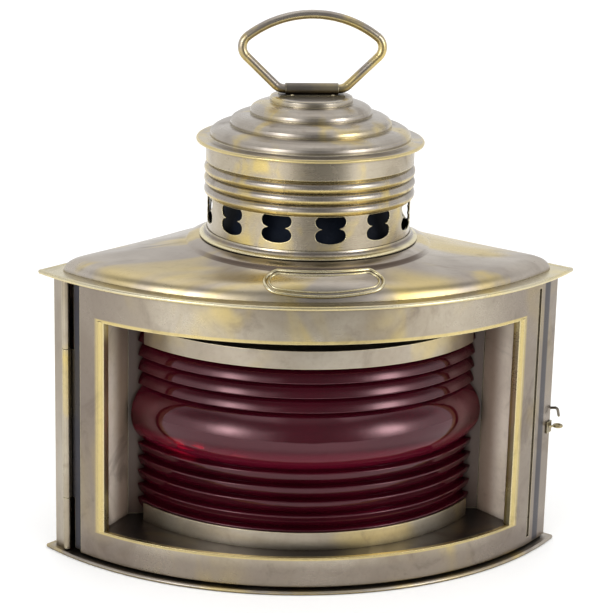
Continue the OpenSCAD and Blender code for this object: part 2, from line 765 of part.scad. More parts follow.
module pin_bore() {
    translate([hinge_xy[0], hinge_xy[1], 0]) cylinder(r = pin_r + pin_play, h = far, $fn = 48);
}

module hinge_body_leaf() color(brass) {
    r = front_r - wall_t;
    difference() {
        union() {
            for (z = [[hinge_low, hinge_mid - knuckle_gap], [hinge_high, hinge_top]]) {
                knuckle(z[0], z[1]);
                translate([0, 0, z[0]]) linear_extrude(z[1] - z[0])
                    arc_strip(r - leaf_t, r - 0.02, -leaf_end, -hinge_at);
            }
            translate([0, 0, hinge_low]) linear_extrude(hinge_top - hinge_low)
                arc_strip(r - leaf_t, r - 0.02, -leaf_end, -left_strip_edge);
        }
        pin_bore();
    }
}

module hinge_door_leaf() color(brass) {
    r = front_r - door_t;
    difference() {
        union() {
            knuckle(hinge_mid, hinge_high - knuckle_gap);
            translate([0, 0, hinge_mid]) linear_extrude(hinge_high - knuckle_gap - hinge_mid)
                arc_strip(r - leaf_t, r - 0.02, -hinge_at, -door_leaf_end);
            translate([0, 0, hinge_low]) linear_extrude(hinge_top - hinge_low)
                arc_strip(r - leaf_t, r - 0.02, -door_leaf_start, -door_leaf_end);
        }
        pin_bore();
    }
}

module hinge_pin() color(gold) {
    translate([hinge_xy[0], hinge_xy[1], hinge_low - 0.4])
        cylinder(r = pin_r, h = hinge_top - hinge_low + 0.8, $fn = 48);
    for (z = [hinge_low - 0.9, hinge_top + 0.05])
        translate([hinge_xy[0], hinge_xy[1], z]) cylinder(r = knuckle_r - 0.2, h = 0.85, $fn = 48);
}

leaf_rivet_r = 1;
door_leaf_start = from_corner(hinge_in + 2 * knuckle_r);
door_leaf_end = from_corner(door_in + leaf_lap);
door_rivet_a = from_corner(door_in + leaf_lap / 2);
hinge_rivet_z = [for (k = [0 : 3]) hinge_low + (hinge_top - hinge_low) * (0.1 + 0.8 * k / 3)];

module body_hinge_rivets() color(gold) {
    for (z = hinge_rivet_z) {
        p = on_front(-leaf_rivet_a, front_r - wall_t - leaf_t);
        translate([p[0], p[1], z]) rotate([-90, 0, -leaf_rivet_a]) rivet_head(leaf_rivet_r);
    }
}

module door_hinge_rivets() color(gold) {
    for (z = hinge_rivet_z) {
        p = on_front(-door_rivet_a, front_r - door_t - leaf_t);
        translate([p[0], p[1], z]) rotate([-90, 0, -door_rivet_a]) rivet_head(leaf_rivet_r);
    }
}

fold_xy = on_front(window_half + fold_r / front_r * 180 / PI, front_r - fold_r + 0.6);

module door() color(brass) {
    h = door_top - door_low;
    difference() {
        union() {
            translate([0, 0, door_low]) linear_extrude(h) intersection() {
                arc_strip(front_r - door_t, front_r, -door_left, past_corner);
                plan(0);
            }
            for (s = [-1, 1]) {
                translate([s * fold_xy[0], fold_xy[1], window_z - 0.6])
                    cylinder(r = fold_r, h = window_h + 1.2, $fn = 48);
            }
            translate([0, arc_y, window_z]) rotate(-90 - window_half)
                rotate_extrude(angle = 2 * window_half, $fn = 180)
                translate([front_r - 0.2, 0]) circle(r = 0.8, $fn = 24);
        }
        translate([0, 0, window_z]) linear_extrude(window_h)
            arc_strip(front_r - 20, front_r + 5, -window_half - 0.1, window_half + 0.1);
        translate([0, 0, door_low + 4]) linear_extrude(h - 8)
            arc_strip(front_r - groove_depth, front_r + 5, groove_at, from_corner(groove_in - groove_w));
    }
}

glass_r = lens_r + belt_out;
channel_half = lens_half - channel_short;
channel_inner_r = lens_r - lens_t - lens_play - channel_t;
cheek_back = [glass_r * sin(lens_half) + channel_t + 0.4, lens_centre_y - glass_r * cos(lens_half) + 3];
cheek_v = (cheek_back - fold_xy) / norm(cheek_back - fold_xy);
cheek_foot = fold_xy + (fold_r + 0.3) * cheek_v;

module cheek_right() {
    n = [-cheek_v[1], cheek_v[0]] * channel_t;
    translate([0, 0, window_z - channel_t]) linear_extrude(window_h + 2 * channel_t)
        polygon([cheek_foot, cheek_back, cheek_back - n, cheek_foot - n]);
}

module left_cheek() color(brass) {
    mirror([1, 0, 0]) cheek_right();
}

module right_cheek() color(brass) {
    cheek_right();
}

// Plate of the window box, between the door sheet, the cheeks and the back of the lens
module window_plate() {
    x1 = fold_xy[0] - fold_r - 0.1;
    p1 = cheek_foot + cheek_v * (x1 - cheek_foot[0]) / cheek_v[0];
    p2 = cheek_back;
    in = [-cheek_v[1], cheek_v[0]] * 0.06;
    difference() {
        intersection() {
            translate([0, arc_y]) circle(r = front_r - door_t - 0.02, $fn = 180);
            polygon([[-x1, -far], [x1, -far], p1 + in, p2 + in, [0, 0],
                [-(p2 + in)[0], (p2 + in)[1]], [-(p1 + in)[0], (p1 + in)[1]]]);
        }
        translate([0, lens_centre_y]) circle(r = channel_inner_r - 0.5, $fn = 180);
    }
}

module window_floor() color(brass) {
    translate([0, 0, window_z - channel_t]) linear_extrude(channel_t) window_plate();
}

module window_ceiling() color(brass) {
    translate([0, 0, window_z + window_h]) linear_extrude(channel_t) window_plate();
}

// Curved channel of U section that holds one edge of the glass; z is its closed side
module lens_channel(z, dir) {
    inner = channel_inner_r;
    translate([0, lens_centre_y, z]) rotate(-90 - channel_half)
        rotate_extrude(angle = 2 * channel_half, $fn = 180)
            polygon([[inner, 0], [channel_r, 0],
                [channel_r, dir * channel_h], [channel_r - channel_t, dir * channel_h],
                [channel_r - channel_t, dir * channel_t], [inner + channel_t, dir * channel_t],
                [inner + channel_t, dir * channel_h], [inner, dir * channel_h]]);
}

module lower_lens_channel() color(brass) {
    lens_channel(window_z, 1);
}

module upper_lens_channel() color(brass) {
    lens_channel(window_z + lens_h + 2 * (channel_t + lens_play), -1);
}

// Outline of the ribs on one side of the belt; s is 1 above it and -1 below
function rib_side(s) = [for (k = [0 : rib_count - 1], a = [0 : 18 : 90]) let (
        z = belt_h / 2 + k * rib_pitch
    ) [lens_r + rib_out * cos(a), belt_rise + s * (z + 0.5 + (rib_pitch - 0.5) * sin(a))]];

// Outline of the belt, from its lower to its upper edge
function belt_side() = let (
        r = (belt_out * belt_out + belt_h * belt_h / 4) / (2 * belt_out),
        a = asin(belt_h / 2 / r)
    ) [for (k = [-6 : 6]) [lens_r + belt_out - r + r * cos(a * k / 6), belt_rise + r * sin(a * k / 6)]];

module lens() color(red_glass, 0.85) {
    half_h = lens_h / 2;
    upper = rib_side(1);
    lower = rib_side(-1);
    translate([0, lens_centre_y, lens_mid]) rotate(-90 - lens_half)
        rotate_extrude(angle = 2 * lens_half, $fn = 180) polygon(concat(
            [[lens_r - lens_t, -half_h], [lens_r, -half_h]],
            [for (i = [len(lower) - 1 : -1 : 0]) lower[i]],
            belt_side(), upper, [[lens_r, half_h], [lens_r - lens_t, half_h]]));
}

// Frame of the right side wall: x runs back along the wall, y points out of it
module on_right_wall() {
    translate([corner_half, corner_y, 0]) rotate(90 + side_angle) mirror([0, 1, 0]) children();
}

hook_z = base_top + latch_z + 4;

module latch_stud() color(gold) {
    on_right_wall() translate([latch_reach, 0, hook_z]) rotate([-90, 0, 0]) {
        cylinder(r = latch_stud_r + 0.9, h = latch_stand - latch_wire_r - 0.1, $fn = 32);
        cylinder(r = latch_stud_r, h = latch_stand + latch_wire_r + 0.3, $fn = 32);
        translate([0, 0, latch_stand + latch_wire_r + 0.1])
            cylinder(r = latch_stud_r + 1.2, h = 0.8, $fn = 32);
    }
}

// Hook at rest: lifted by latch_lift, so its tip is clear of the eye
module latch_hook() color(gold) {
    r = latch_wire_r;
    eye_r = latch_stud_r + latch_play + r;
    tip = latch_reach + latch_eye_offset();
    bend = 1.6;
    drop = 3.2;
    on_right_wall() translate([latch_reach, latch_stand, hook_z]) rotate([0, latch_lift, 0]) {
        rotate([90, 0, 0]) rotate_extrude($fn = 64) translate([eye_r, 0]) circle(r = r, $fn = 24);
        rod([-eye_r, 0, 0], [-tip + bend, 0, 0], r);
        translate([-tip + bend, 0, -bend]) rotate([90, 0, 0]) rotate(90) rotate_extrude(angle = 90, $fn = 64)
            translate([bend, 0]) circle(r = r, $fn = 24);
        rod([-tip, 0, -bend], [-tip, 0, -bend - drop + r], r);
        translate([-tip, 0, -bend - drop + r]) sphere(r = r, $fn = 24);
    }
}
function latch_eye_offset() = latch_stand + 0.5;

// A point of the right wall's frame, seen from above
function wall_point(x, y) = [corner_half, corner_y] + x * [-side_n[1], side_n[0]] + y * side_n;

module latch_eye() color(gold) {
    r = latch_wire_r;
    z = base_top + latch_z;
    ring = wall_point(-latch_eye_offset(), latch_stand);
    foot = on_front(from_corner(latch_foot_in), front_r + 0.4);
    to_foot = (foot - ring) / norm(foot - ring);
    near = ring + to_foot * latch_eye_r;
    translate([ring[0], ring[1], z]) rotate_extrude($fn = 64)
        translate([latch_eye_r, 0]) circle(r = r, $fn = 24);
    translate([0, 0, z - 3]) linear_extrude(6) arc_strip(front_r + 0.02, front_r + 0.8,
        from_corner(latch_foot_in + 3), from_corner(latch_foot_in - 2.1));
    rod([near[0], near[1], z], [foot[0], foot[1], z], r * 0.8);
}

module oil_font() color(brass) {
    r = font_r;
    t = font_t;
    neck = burner_r - 1;
    difference() {
        translate([0, font_y, base_top]) rotate_extrude($fn = 120) difference() {
            polygon([[0, 0], [r - 1.5, 0], [r, 1.5], [r, font_h - 6], [r - 1.2, font_h - 3],
                [r - 5, font_h - 1], [r - 9, font_h], [0, font_h]]);
            polygon([[-1, t], [r - 1.5 - t * 0.5, t], [r - t, 1.5 + t * 0.5], [r - t, font_h - 6.3],
                [r - 1.2 - t, font_h - 3.7], [r - 5 - t, font_h - 1.9],
                [r - 9 - t * 0.2, font_h - t], [-1, font_h - t]]);
        }
        translate([0, font_y, base_top + font_h - 4]) cylinder(r = neck, h = 8);
        translate([filler_x, font_y, base_top + font_h - 4]) cylinder(r = filler_r - 1, h = 8);
    }
    translate([filler_x, font_y, base_top + font_h - t]) difference() {
        cylinder(r = filler_r, h = filler_h + t);
        translate([0, 0, -1]) cylinder(r = filler_r - 1, h = filler_h + 4);
    }
}

font_top = base_top + font_h;

burner_collar_h = 3.6;

module burner_collar() color(gold) {
    translate([0, font_y, font_top]) difference() {
        union() {
            cylinder(r = burner_r + burner_lip, h = 1.2);
            cylinder(r = burner_r + 0.6, h = burner_collar_h);
        }
        translate([0, 0, -1]) cylinder(r = burner_r - 1, h = 8);
    }
}

tube_w = wick_w + 2 * wick_play;
tube_t = wick_t + 2 * wick_play;
burner_body_h = 9;
wheel_z = font_top + 9;
wheel_w = 3;
spindle_y = font_y - wick_t / 2 - wheel_r - 0.3;
tube_top = base_top + flame_z - 5;

module burner_body() color(gold) {
    z = font_top + burner_collar_h;
    h = burner_body_h;
    translate([0, font_y, z]) difference() {
        rotate_extrude($fn = 96) polygon([[0, 0], [burner_r, 0], [burner_r, 1.2], [burner_r - 2.5, 2.2],
            [burner_r - 2.5, h - 2], [burner_r + 1.6, h - 0.8], [burner_r + 1.6, h], [burner_r - 1, h],
            [burner_r - 3.6, h - 1.6], [burner_r - 3.6, 1.2], [0, 1.2]]);
        translate([-(tube_w / 2 + 1), -(tube_t / 2 + 1), -1]) cube([tube_w + 2, tube_t + 2, 4]);
        translate([-burner_r - 10, spindle_y - font_y, wheel_z - z]) rotate([0, 90, 0])
            cylinder(r = spindle_r + spindle_play, h = 2 * burner_r + 20, $fn = 32);
        for (i = [0 : 11]) rotate(30 * i + 15) translate([burner_r - 1.2, 0, h - 3])
            cylinder(r = 0.7, h = 6, $fn = 24);
    }
}

module wick_tube() color(brass) {
    z = font_top - 6;
    t = 0.8;
    translate([0, font_y, 0]) difference() {
        translate([-(tube_w / 2 + t), -(tube_t / 2 + t), z])
            cube([tube_w + 2 * t, tube_t + 2 * t, tube_top - z]);
        translate([-tube_w / 2, -tube_t / 2, z - 1]) cube([tube_w, tube_t, tube_top - z + 2]);
        translate([-wheel_w / 2 - 0.4, -tube_t / 2 - 2, wheel_z - wheel_r - 0.4])
            cube([wheel_w + 0.8, 3, 2 * wheel_r + 0.8]);
    }
}

module burner_dome() color(brass) {
    z = font_top + burner_collar_h + burner_body_h;
    h = base_top + flame_z - 2 - z;
    r = burner_r + 1.4;
    difference() {
        translate([0, font_y, z]) rotate_extrude($fn = 96) polygon(concat(
            [for (a = [0 : 10 : 90]) [r * cos(a), h * sin(a)]],
            [for (a = [90 : -10 : 0]) [(r - 0.9) * cos(a), (h - 0.9) * sin(a)]]));
        translate([-(wick_w / 2 + 1.6), font_y - 2.6, z + h / 2]) cube([wick_w + 3.2, 5.2, h]);
    }
}

module wick() color(cotton) {
    low = base_top + font_t + 8;
    high = base_top + flame_z - 3.2;
    translate([-wick_w / 2, font_y - wick_t / 2, low]) cube([wick_w, wick_t, high - low]);
}

module wick_knob() color(gold) {
    inner_end = sqrt(pow(burner_r - 2.8, 2) - pow(font_y - spindle_y, 2));
    translate([-knob_reach, spindle_y, wheel_z]) rotate([0, 90, 0])
        cylinder(r = spindle_r, h = knob_reach + inner_end, $fn = 32);
    translate([-wheel_w / 2, spindle_y, wheel_z]) rotate([0, 90, 0]) difference() {
        cylinder(r = wheel_r, h = wheel_w, $fn = 64);
        for (i = [0 : 11]) rotate(30 * i) translate([wheel_r + 0.3, 0, -1])
            cylinder(r = 0.7, h = wheel_w + 2, $fn = 24);
    }
    translate([-knob_reach - 3, spindle_y, wheel_z]) rotate([0, 90, 0]) difference() {
        cylinder(r = knob_r, h = 3, $fn = 64);
        for (i = [0 : 17]) rotate(20 * i) translate([knob_r + 0.35, 0, -1])
            cylinder(r = 0.7, h = 5, $fn = 24);
    }
}

module filler_washer() color("#5a3d28") {
    translate([filler_x, font_y, font_top]) difference() {
        cylinder(r = filler_r + washer_rim, h = 0.8);
        translate([0, 0, -1]) cylinder(r = filler_r + 0.2, h = 3);
    }
}

module filler_cap() color(gold) {
    lift = 1.1;
    bore = filler_h - lift + 0.3;
    r = filler_r + filler_play;
    rim = filler_r + washer_rim - 0.1;
    translate([filler_x, font_y, font_top + lift]) difference() {
        union() {
            cylinder(r = rim, h = bore + 1);
            cylinder(r = r * 0.6, h = bore + 2.2);
        }
        translate([0, 0, -1]) cylinder(r = r, h = bore + 1);
        for (i = [0 : 23]) rotate(15 * i) translate([rim + 0.35, 0, 0.8])
            cylinder(r = 0.6, h = 10, $fn = 24);
    }
}

base_plate();
font_seat();
left_side_wall();
right_side_wall();
back_plate();
rear_socket();
back_rivets();
top_flange();
roof_dome();
label_border();
chimney_collar();
chimney_drum();
draught_funnel();
cap();
bail_strap();
strap_rivets();
bail();
hinge_body_leaf();
hinge_door_leaf();
hinge_pin();
body_hinge_rivets();
door_hinge_rivets();
door();
left_cheek();
right_cheek();
window_floor();
window_ceiling();
upper_lens_channel();
lower_lens_channel();
lens();
latch_hook();
latch_stud();
latch_eye();
oil_font();
burner_collar();
burner_body();
wick_tube();
burner_dome();
wick();
wick_knob();
filler_washer();
filler_cap();
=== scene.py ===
"""Looks of a ships navigation lamp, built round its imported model."""

import math

import bmesh
import bpy
from mathutils import Matrix, Vector, noise


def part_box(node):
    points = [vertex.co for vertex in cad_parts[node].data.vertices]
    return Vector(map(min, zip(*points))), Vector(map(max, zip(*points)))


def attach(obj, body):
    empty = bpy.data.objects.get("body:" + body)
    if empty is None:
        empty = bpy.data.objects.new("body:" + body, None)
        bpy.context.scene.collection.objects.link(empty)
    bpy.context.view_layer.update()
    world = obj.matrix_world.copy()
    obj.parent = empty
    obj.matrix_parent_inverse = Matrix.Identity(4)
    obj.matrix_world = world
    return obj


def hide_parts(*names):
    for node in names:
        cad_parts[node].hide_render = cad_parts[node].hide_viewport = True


bl_info = {
    "name": "Ships Navigation Lamp",
    "version": (1, 0, 0),
    "blender": (4, 5, 0),
    "location": "View3D > Sidebar > Lamp",
    "description": "Dresses the packed lamp in old brass and red ribbed glass",
    "category": "Add Mesh",
}

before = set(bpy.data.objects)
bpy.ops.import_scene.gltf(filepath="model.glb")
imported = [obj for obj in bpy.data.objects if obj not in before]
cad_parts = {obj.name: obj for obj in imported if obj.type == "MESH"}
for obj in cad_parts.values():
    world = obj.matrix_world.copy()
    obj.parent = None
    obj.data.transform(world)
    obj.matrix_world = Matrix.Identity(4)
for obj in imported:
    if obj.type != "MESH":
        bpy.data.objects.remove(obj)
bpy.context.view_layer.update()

ROOF_LOW, ROOF_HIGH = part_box("roof_dome")
DRUM_LOW, DRUM_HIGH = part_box("chimney_drum")
LENS_LOW, LENS_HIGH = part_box("lens")
CAP_LOW, CAP_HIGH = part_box("cap")
DOOR_LOW, DOOR_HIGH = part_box("door")
PIN_LOW, PIN_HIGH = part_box("hinge_pin")
FLANGE_LOW, FLANGE_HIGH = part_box("top_flange")
WINDOW_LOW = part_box("window_floor")[1].z
WINDOW_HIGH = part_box("window_ceiling")[0].z
WINDOW_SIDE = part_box("right_cheek")[1].x
SOFT = math.radians(34)


def length(name, description, default, low, high):
    """A size in metres that the sidebar shows."""
    return bpy.props.FloatProperty(
        name=name, description=description, default=default, min=low, max=high,
        unit="LENGTH", subtype="DISTANCE", precision=4)


def colour(name, description, default):
    """A colour that the sidebar shows."""
    return bpy.props.FloatVectorProperty(
        name=name, description=description, default=default, size=3, min=0, max=1,
        subtype="COLOR")


def share(name, description, default, high=1.0):
    """A plain factor that the sidebar shows."""
    return bpy.props.FloatProperty(
        name=name, description=description, default=default, min=0, max=high,
        subtype="FACTOR" if high <= 1 else "NONE")


class LampFinish(bpy.types.PropertyGroup):
    """Colours and wear of the lamp's finishes, and the colours of its painted light and shade."""

    sheet: colour("Sheet brass", "Grey-beige of the antiqued sheet", (0.43, 0.39, 0.34))
    # Also laid on the door's sides, left stile and sill as painted shade.
    dull: colour("Dull brass", "Darker clouds in the antiqued sheet", (0.20, 0.165, 0.14))
    # Also laid on faces that lean down and on the roof's front as painted reflection and sheen.
    gold: colour("Rubbed brass", "Yellow of the brass where it is rubbed", (0.62, 0.48, 0.17))
    # Also laid over the shaded inner faces of the window's opening as painted light.
    edge: colour("Bright edges", "Cream yellow of the polished edges", (0.78, 0.70, 0.44))
    # Also the brown that the shut-in corners and the roof's step are darkened towards, as dirt and
    # painted shade.
    stain: colour("Patina", "Brown of the old patina", (0.10, 0.072, 0.055))
    # Brown of the cheeks, darker beside the glass as painted shade.
    shade_brown: colour("Smudges", "Brown soot smudges beside the glass", (0.20, 0.125, 0.085))
    # Blue-black of painted shadow and shade: the gap by the door, the collar's foot, the window box
    # and the hinge leaves.
    seam: colour("Seams", "Blue-black dirt in seams and gaps", (0.030, 0.032, 0.045))
    soot: colour("Sooted brass", "Blue-black of the metal over the flame", (0.003, 0.006, 0.014))
    glass: colour("Red glass", "Wine red of the pressed glass", (0.050, 0.0020, 0.0075))
    clear: share("Clearness", "Share of the light that passes the glass", 0.55)
    rubbing: share("Rubbing", "How much yellow shows on edges", 0.6)
    dents: length("Dents", "Depth of the sheet's unevenness", 0.00035, 0, 0.002)


class LampSizes(bpy.types.PropertyGroup):
    """Sizes of the pieces that are rebuilt here."""

    front_r: length("Front radius", "Radius of the bowed front", 0.156, 0.12, 0.2)
    front_reach: length("Front reach", "Chimney axis to the front", 0.074, 0.05, 0.1)
    corner_half: length("Corner half width", "Half the width at the corners", 0.126, 0.1, 0.15)
    back_reach: length("Back reach", "Chimney axis to the back", 0.078, 0.05, 0.1)
    roof_inset: length("Roof inset", "Foot of the dome inside the walls", 0.0024, 0, 0.01)
    roof_t: length("Roof sheet", "Thickness of the roof sheet", 0.0012, 0.0005, 0.003)
    edge_h: length("Edge height", "Height of the dome's rounded edge", 0.007, 0.002, 0.015)
    edge_w: length("Edge width", "Width of the dome's rounded edge", 0.011, 0.002, 0.02)
    pad_r: length("Ring radius", "Radius of the sloping ring at the chimney", 0.0600, 0.05, 0.07)
    pad_step: length("Ring step", "Height of the step at that ring", 0.0014, 0, 0.003)
    pad_drop: length("Ring drop", "How far that ring slopes down", 0.0016, 0, 0.003)
    label_len: length("Label length", "Length of the bare label", 0.0572, 0.03, 0.08)
    label_h: length("Label height", "Height of the bare label up the slope", 0.0138, 0.005, 0.02)
    label_r: length("Label radius", "Chimney axis to the label's middle", 0.0667, 0.06, 0.07)
    label_shift: length("Label shift", "Label's middle to the right of the axis", 0.0013, -0.01, 0.01)
    label_bead: length("Label line", "Radius of the label's raised line", 0.0009, 0.0004, 0.002)
    glass_r: length("Glass radius", "Radius of the glass at its grooves", 0.093, 0.08, 0.1)
    glass_t: length("Glass thickness", "Thickness of the glass at its grooves", 0.007, 0.003, 0.01)
    glass_centre: length("Glass centre", "Axis of the glass behind the chimney's", 0.034, 0, 0.05)
    glass_half: bpy.props.FloatProperty(
        name="Glass angle", description="Half the angle that the glass spans", subtype="ANGLE",
        default=math.radians(61))
    belt_h: length("Belt height", "Height of the middle belt", 0.0225, 0.01, 0.04)
    belt_out: length("Belt depth", "How far the belt stands out", 0.008, 0.002, 0.01)
    rib_pitch: length("Rib pitch", "Pitch of the ribs", 0.00735, 0.004, 0.01)
    rib_out: length("Rib depth", "How far a rib stands out", 0.004, 0.001, 0.006)
    rib_count: bpy.props.IntProperty(
        name="Ribs", description="Ribs above and below the belt", default=5, min=1, max=9)


class LampStudio(bpy.types.PropertyGroup):
    """Camera and light."""

    camera_at: bpy.props.FloatVectorProperty(
        name="Camera", description="Place of the camera", size=3, subtype="TRANSLATION",
        unit="LENGTH", default=(-0.1125, -1.0130, 0.4110))
    pitch: bpy.props.FloatProperty(
        name="Pitch", description="Downward look of the camera", subtype="ANGLE",
        default=math.radians(15.743))
    yaw: bpy.props.FloatProperty(
        name="Yaw", description="Turn of the camera towards +X", subtype="ANGLE",
        default=math.radians(6.341))
    roll: bpy.props.FloatProperty(
        name="Roll", description="Roll of the camera", subtype="ANGLE",
        default=math.radians(1.411))
    lens_mm: bpy.props.FloatProperty(
        name="Lens", description="Focal length on a 36 mm frame", default=123.43,
        min=20, max=400, subtype="DISTANCE_CAMERA")
    fill: share("Fill", "Share of the room's light that falls on dull surfaces", 0.87)
    shade: share("Dark side", "Brightness of the dark part of the room, ahead", 0.24)
    ceiling: share("Ceiling", "Brightness of the room above the camera", 0.24)
    overhead: share("Overhead", "What the room's top adds to its own brightness", 0.30)
    softbox: share("Softboxes", "Brightness of the soft lamps against the room", 1.6, 20)
    glow: share("Bright walls", "What the bright walls add to the room on either side", 0.8, 10)
    core: share("Bright cores", "What their bright middles add to that", 7.0, 20)
    floor_glow: share("Floor glow", "Light that the pale floor adds to its own", 0.12)


# Node helpers


class Nodes:
    """Short way to add and join shader nodes in one tree."""

    def __init__(self, tree):
        self.tree = tree

    def add(self, kind, inputs=None, **settings):
        node = self.tree.nodes.new(kind)
        for key, value in settings.items():
            setattr(node, key, value)
        for key, value in (inputs or {}).items():
            self.put(node.inputs[key], value)
        return node

    def put(self, socket, value):
        if isinstance(value, bpy.types.NodeSocket):
            self.tree.links.new(value, socket)
        else:
            socket.default_value = value

    def math(self, operation, a, b=0.0, c=0.0, clamp=False):
        node = self.add("ShaderNodeMath", operation=operation, use_clamp=clamp)
        for socket, value in zip(node.inputs, (a, b, c)):
            self.put(socket, value)
        return node.outputs[0]

    def remap(self, value, low, high, to_low=0.0, to_high=1.0, smooth=True):
        node = self.add("ShaderNodeMapRange", {
            "Value": value, "From Min": low, "From Max": high,
            "To Min": to_low, "To Max": to_high})
        node.interpolation_type = "SMOOTHSTEP" if smooth else "LINEAR"
        return node.outputs["Result"]

    def mix(self, factor, a, b, blend="MIX"):
        node = self.add("ShaderNodeMix", data_type="RGBA", blend_type=blend)
        self.put(node.inputs["Factor"], factor)
        self.put(node.inputs["A"], a if isinstance(a, bpy.types.NodeSocket) else rgba(a))
        self.put(node.inputs["B"], b if isinstance(b, bpy.types.NodeSocket) else rgba(b))
        return node.outputs["Result"]

    def noise(self, vector, scale, detail=3.0, rough=0.55, distortion=0.0):
        node = self.add("ShaderNodeTexNoise", {
            "Vector": vector, "Scale": scale, "Detail": detail, "Roughness": rough,
            "Distortion": distortion})
        return node.outputs["Fac"]

    def stretch(self, vector, scale, turn=(0, 0, 0), move=(0, 0, 0)):
        node = self.add("ShaderNodeMapping", {
            "Vector": vector, "Scale": scale, "Rotation": turn, "Location": move})
        return node.outputs["Vector"]


def rgba(c):
    return (c[0], c[1], c[2], 1.0) if len(c) == 3 else c


def new_group(name, inputs, outputs):
    """An empty shader group with named sockets; inputs maps a name to (type, default)."""
    group = bpy.data.node_groups.new(name, "ShaderNodeTree")
    for label, (kind, default) in inputs.items():
        socket = group.interface.new_socket(label, in_out="INPUT", socket_type=kind)
        if default is not None:
            socket.default_value = default
    for label, kind in outputs.items():
        group.interface.new_socket(label, in_out="OUTPUT", socket_type=kind)
    n = Nodes(group)
    return group, n, n.add("NodeGroupInput").outputs, n.add("NodeGroupOutput").inputs


FLOAT, VECTOR, COLOR = "NodeSocketFloat", "NodeSocketVector", "NodeSocketColor"


def patina_group():
    """Clouds, stains and rubbed patches of old brass, as masks."""
    group, n, ins, outs = new_group(
        "Patina",
        {"Vector": (VECTOR, None), "Scale": (FLOAT, 1.0), "Seed": (FLOAT, 0.0),
         "Stretch": (VECTOR, (1, 1, 1))},
        {"Cloud": FLOAT, "Stain": FLOAT, "Rubbed": FLOAT, "Speck": FLOAT})
    move = n.add("ShaderNodeCombineXYZ", {0: ins["Seed"], 1: ins["Seed"], 2: ins["Seed"]})
    drawn = n.add("ShaderNodeVectorMath", {0: ins["Vector"], 1: ins["Stretch"]},
                  operation="MULTIPLY").outputs[0]
    place = n.add("ShaderNodeVectorMath", {0: drawn, 1: move.outputs[0]},
                  operation="ADD").outputs[0]
    cloud = n.noise(place, n.math("MULTIPLY", ins["Scale"], 16.0), 4.0, 0.55, 0.4)
    stain = n.noise(place, n.math("MULTIPLY", ins["Scale"], 34.0), 5.0, 0.62, 0.8)
    rubbed = n.noise(n.stretch(place, (1, 1, 0.7), move=(3.1, 1.7, 0.4)),
                     n.math("MULTIPLY", ins["Scale"], 24.0), 3.0, 0.5, 0.6)
    speck = n.noise(place, n.math("MULTIPLY", ins["Scale"], 420.0), 4.0, 0.7)
    n.put(outs["Cloud"], n.remap(cloud, 0.34, 0.66))
    n.put(outs["Stain"], n.remap(stain, 0.52, 0.74))
    n.put(outs["Rubbed"], n.remap(rubbed, 0.50, 0.68))
    n.put(outs["Speck"], n.remap(speck, 0.45, 0.75))
    return group


def wear_and_shade_masks():
    """Masks of the edges that hands rub bright and of the shut-in corners, which hold dirt and get
    painted shade.
    """
    group, n, ins, outs = new_group(
        "Edge Wear and Shade",
        {"Radius": (FLOAT, 0.0012), "Reach": (FLOAT, 0.006), "Vector": (VECTOR, None)},
        {"Edge": FLOAT, "Corner": FLOAT})
    flat = n.add("ShaderNodeNewGeometry").outputs["Normal"]
    bevel = n.add("ShaderNodeBevel", {"Radius": ins["Radius"]}, samples=4).outputs[0]
    dot = n.add("ShaderNodeVectorMath", {0: flat, 1: bevel}, operation="DOT_PRODUCT")
    broken = n.noise(ins["Vector"], 260.0, 3.0, 0.6)
    turned = n.math("SUBTRACT", 1.0, dot.outputs["Value"])
    open_side = n.add("ShaderNodeAmbientOcclusion", {"Distance": ins["Reach"]}, samples=4)
    shut = n.math("SUBTRACT", 1.0, open_side.outputs["AO"])
    corner = n.remap(n.math("ADD", shut, n.math("MULTIPLY", broken, 0.2)), 0.35, 0.85)
    edge = n.remap(n.math("ADD", turned, n.math("MULTIPLY", broken, 0.03)), 0.035, 0.10)
    n.put(outs["Edge"], n.math("MULTIPLY", edge, n.math("SUBTRACT", 1.0, corner)))
    n.put(outs["Corner"], corner)
    return group


def sheet_group():
    """Height of hand-worked sheet: slow dents, fine rubbing lines and pits."""
    group, n, ins, outs = new_group(
        "Worked Sheet",
        {"Vector": (VECTOR, None), "Grain": (VECTOR, (1, 1, 1)), "Dents": (FLOAT, 0.0003),
         "Lines": (FLOAT, 0.00002)},
        {"Height": FLOAT, "Lines": FLOAT})
    slow = n.noise(ins["Vector"], 26.0, 1.5, 0.4)
    grain = n.add("ShaderNodeVectorMath", {0: ins["Vector"], 1: ins["Grain"]},
                  operation="MULTIPLY").outputs[0]
    lines = n.noise(grain, 1.0, 4.0, 0.65)
    pits = n.noise(ins["Vector"], 900.0, 2.0, 0.6)
    height = n.math("MULTIPLY", slow, ins["Dents"])
    height = n.math("MULTIPLY_ADD", lines, ins["Lines"], height)
    height = n.math("MULTIPLY_ADD", pits, 0.000006, height)
    n.put(outs["Height"], height)
    n.put(outs["Lines"], lines)
    return group


def shared(name, maker):
    return bpy.data.node_groups.get(name) or maker()


def use(n, name, maker, **inputs):
    """Places a shared group in a material, with its own values."""
    node = n.add("ShaderNodeGroup", node_tree=shared(name, maker))
    for key, value in inputs.items():
        n.put(node.inputs[key], value)
    return node.outputs


def new_material(name):
    material = bpy.data.materials.new(name)
    material.use_nodes = True
    material.node_tree.nodes.clear()
    n = Nodes(material.node_tree)
    shader = n.add("ShaderNodeBsdfPrincipled")
    out = n.add("ShaderNodeOutputMaterial", {"Surface": shader.outputs[0]})
    place = n.add("ShaderNodeTexCoord").outputs["Object"]
    return material, n, shader, place, out


LATHE, ALONG_X, ALONG_Z = (60, 60, 1500), (60, 1500, 1500), (1500, 1500, 60)
EVEN, DRAWN_DOWN, DRAWN_ALONG = (1, 1, 1), (1, 1, 0.3), (0.45, 1.3, 1.3)


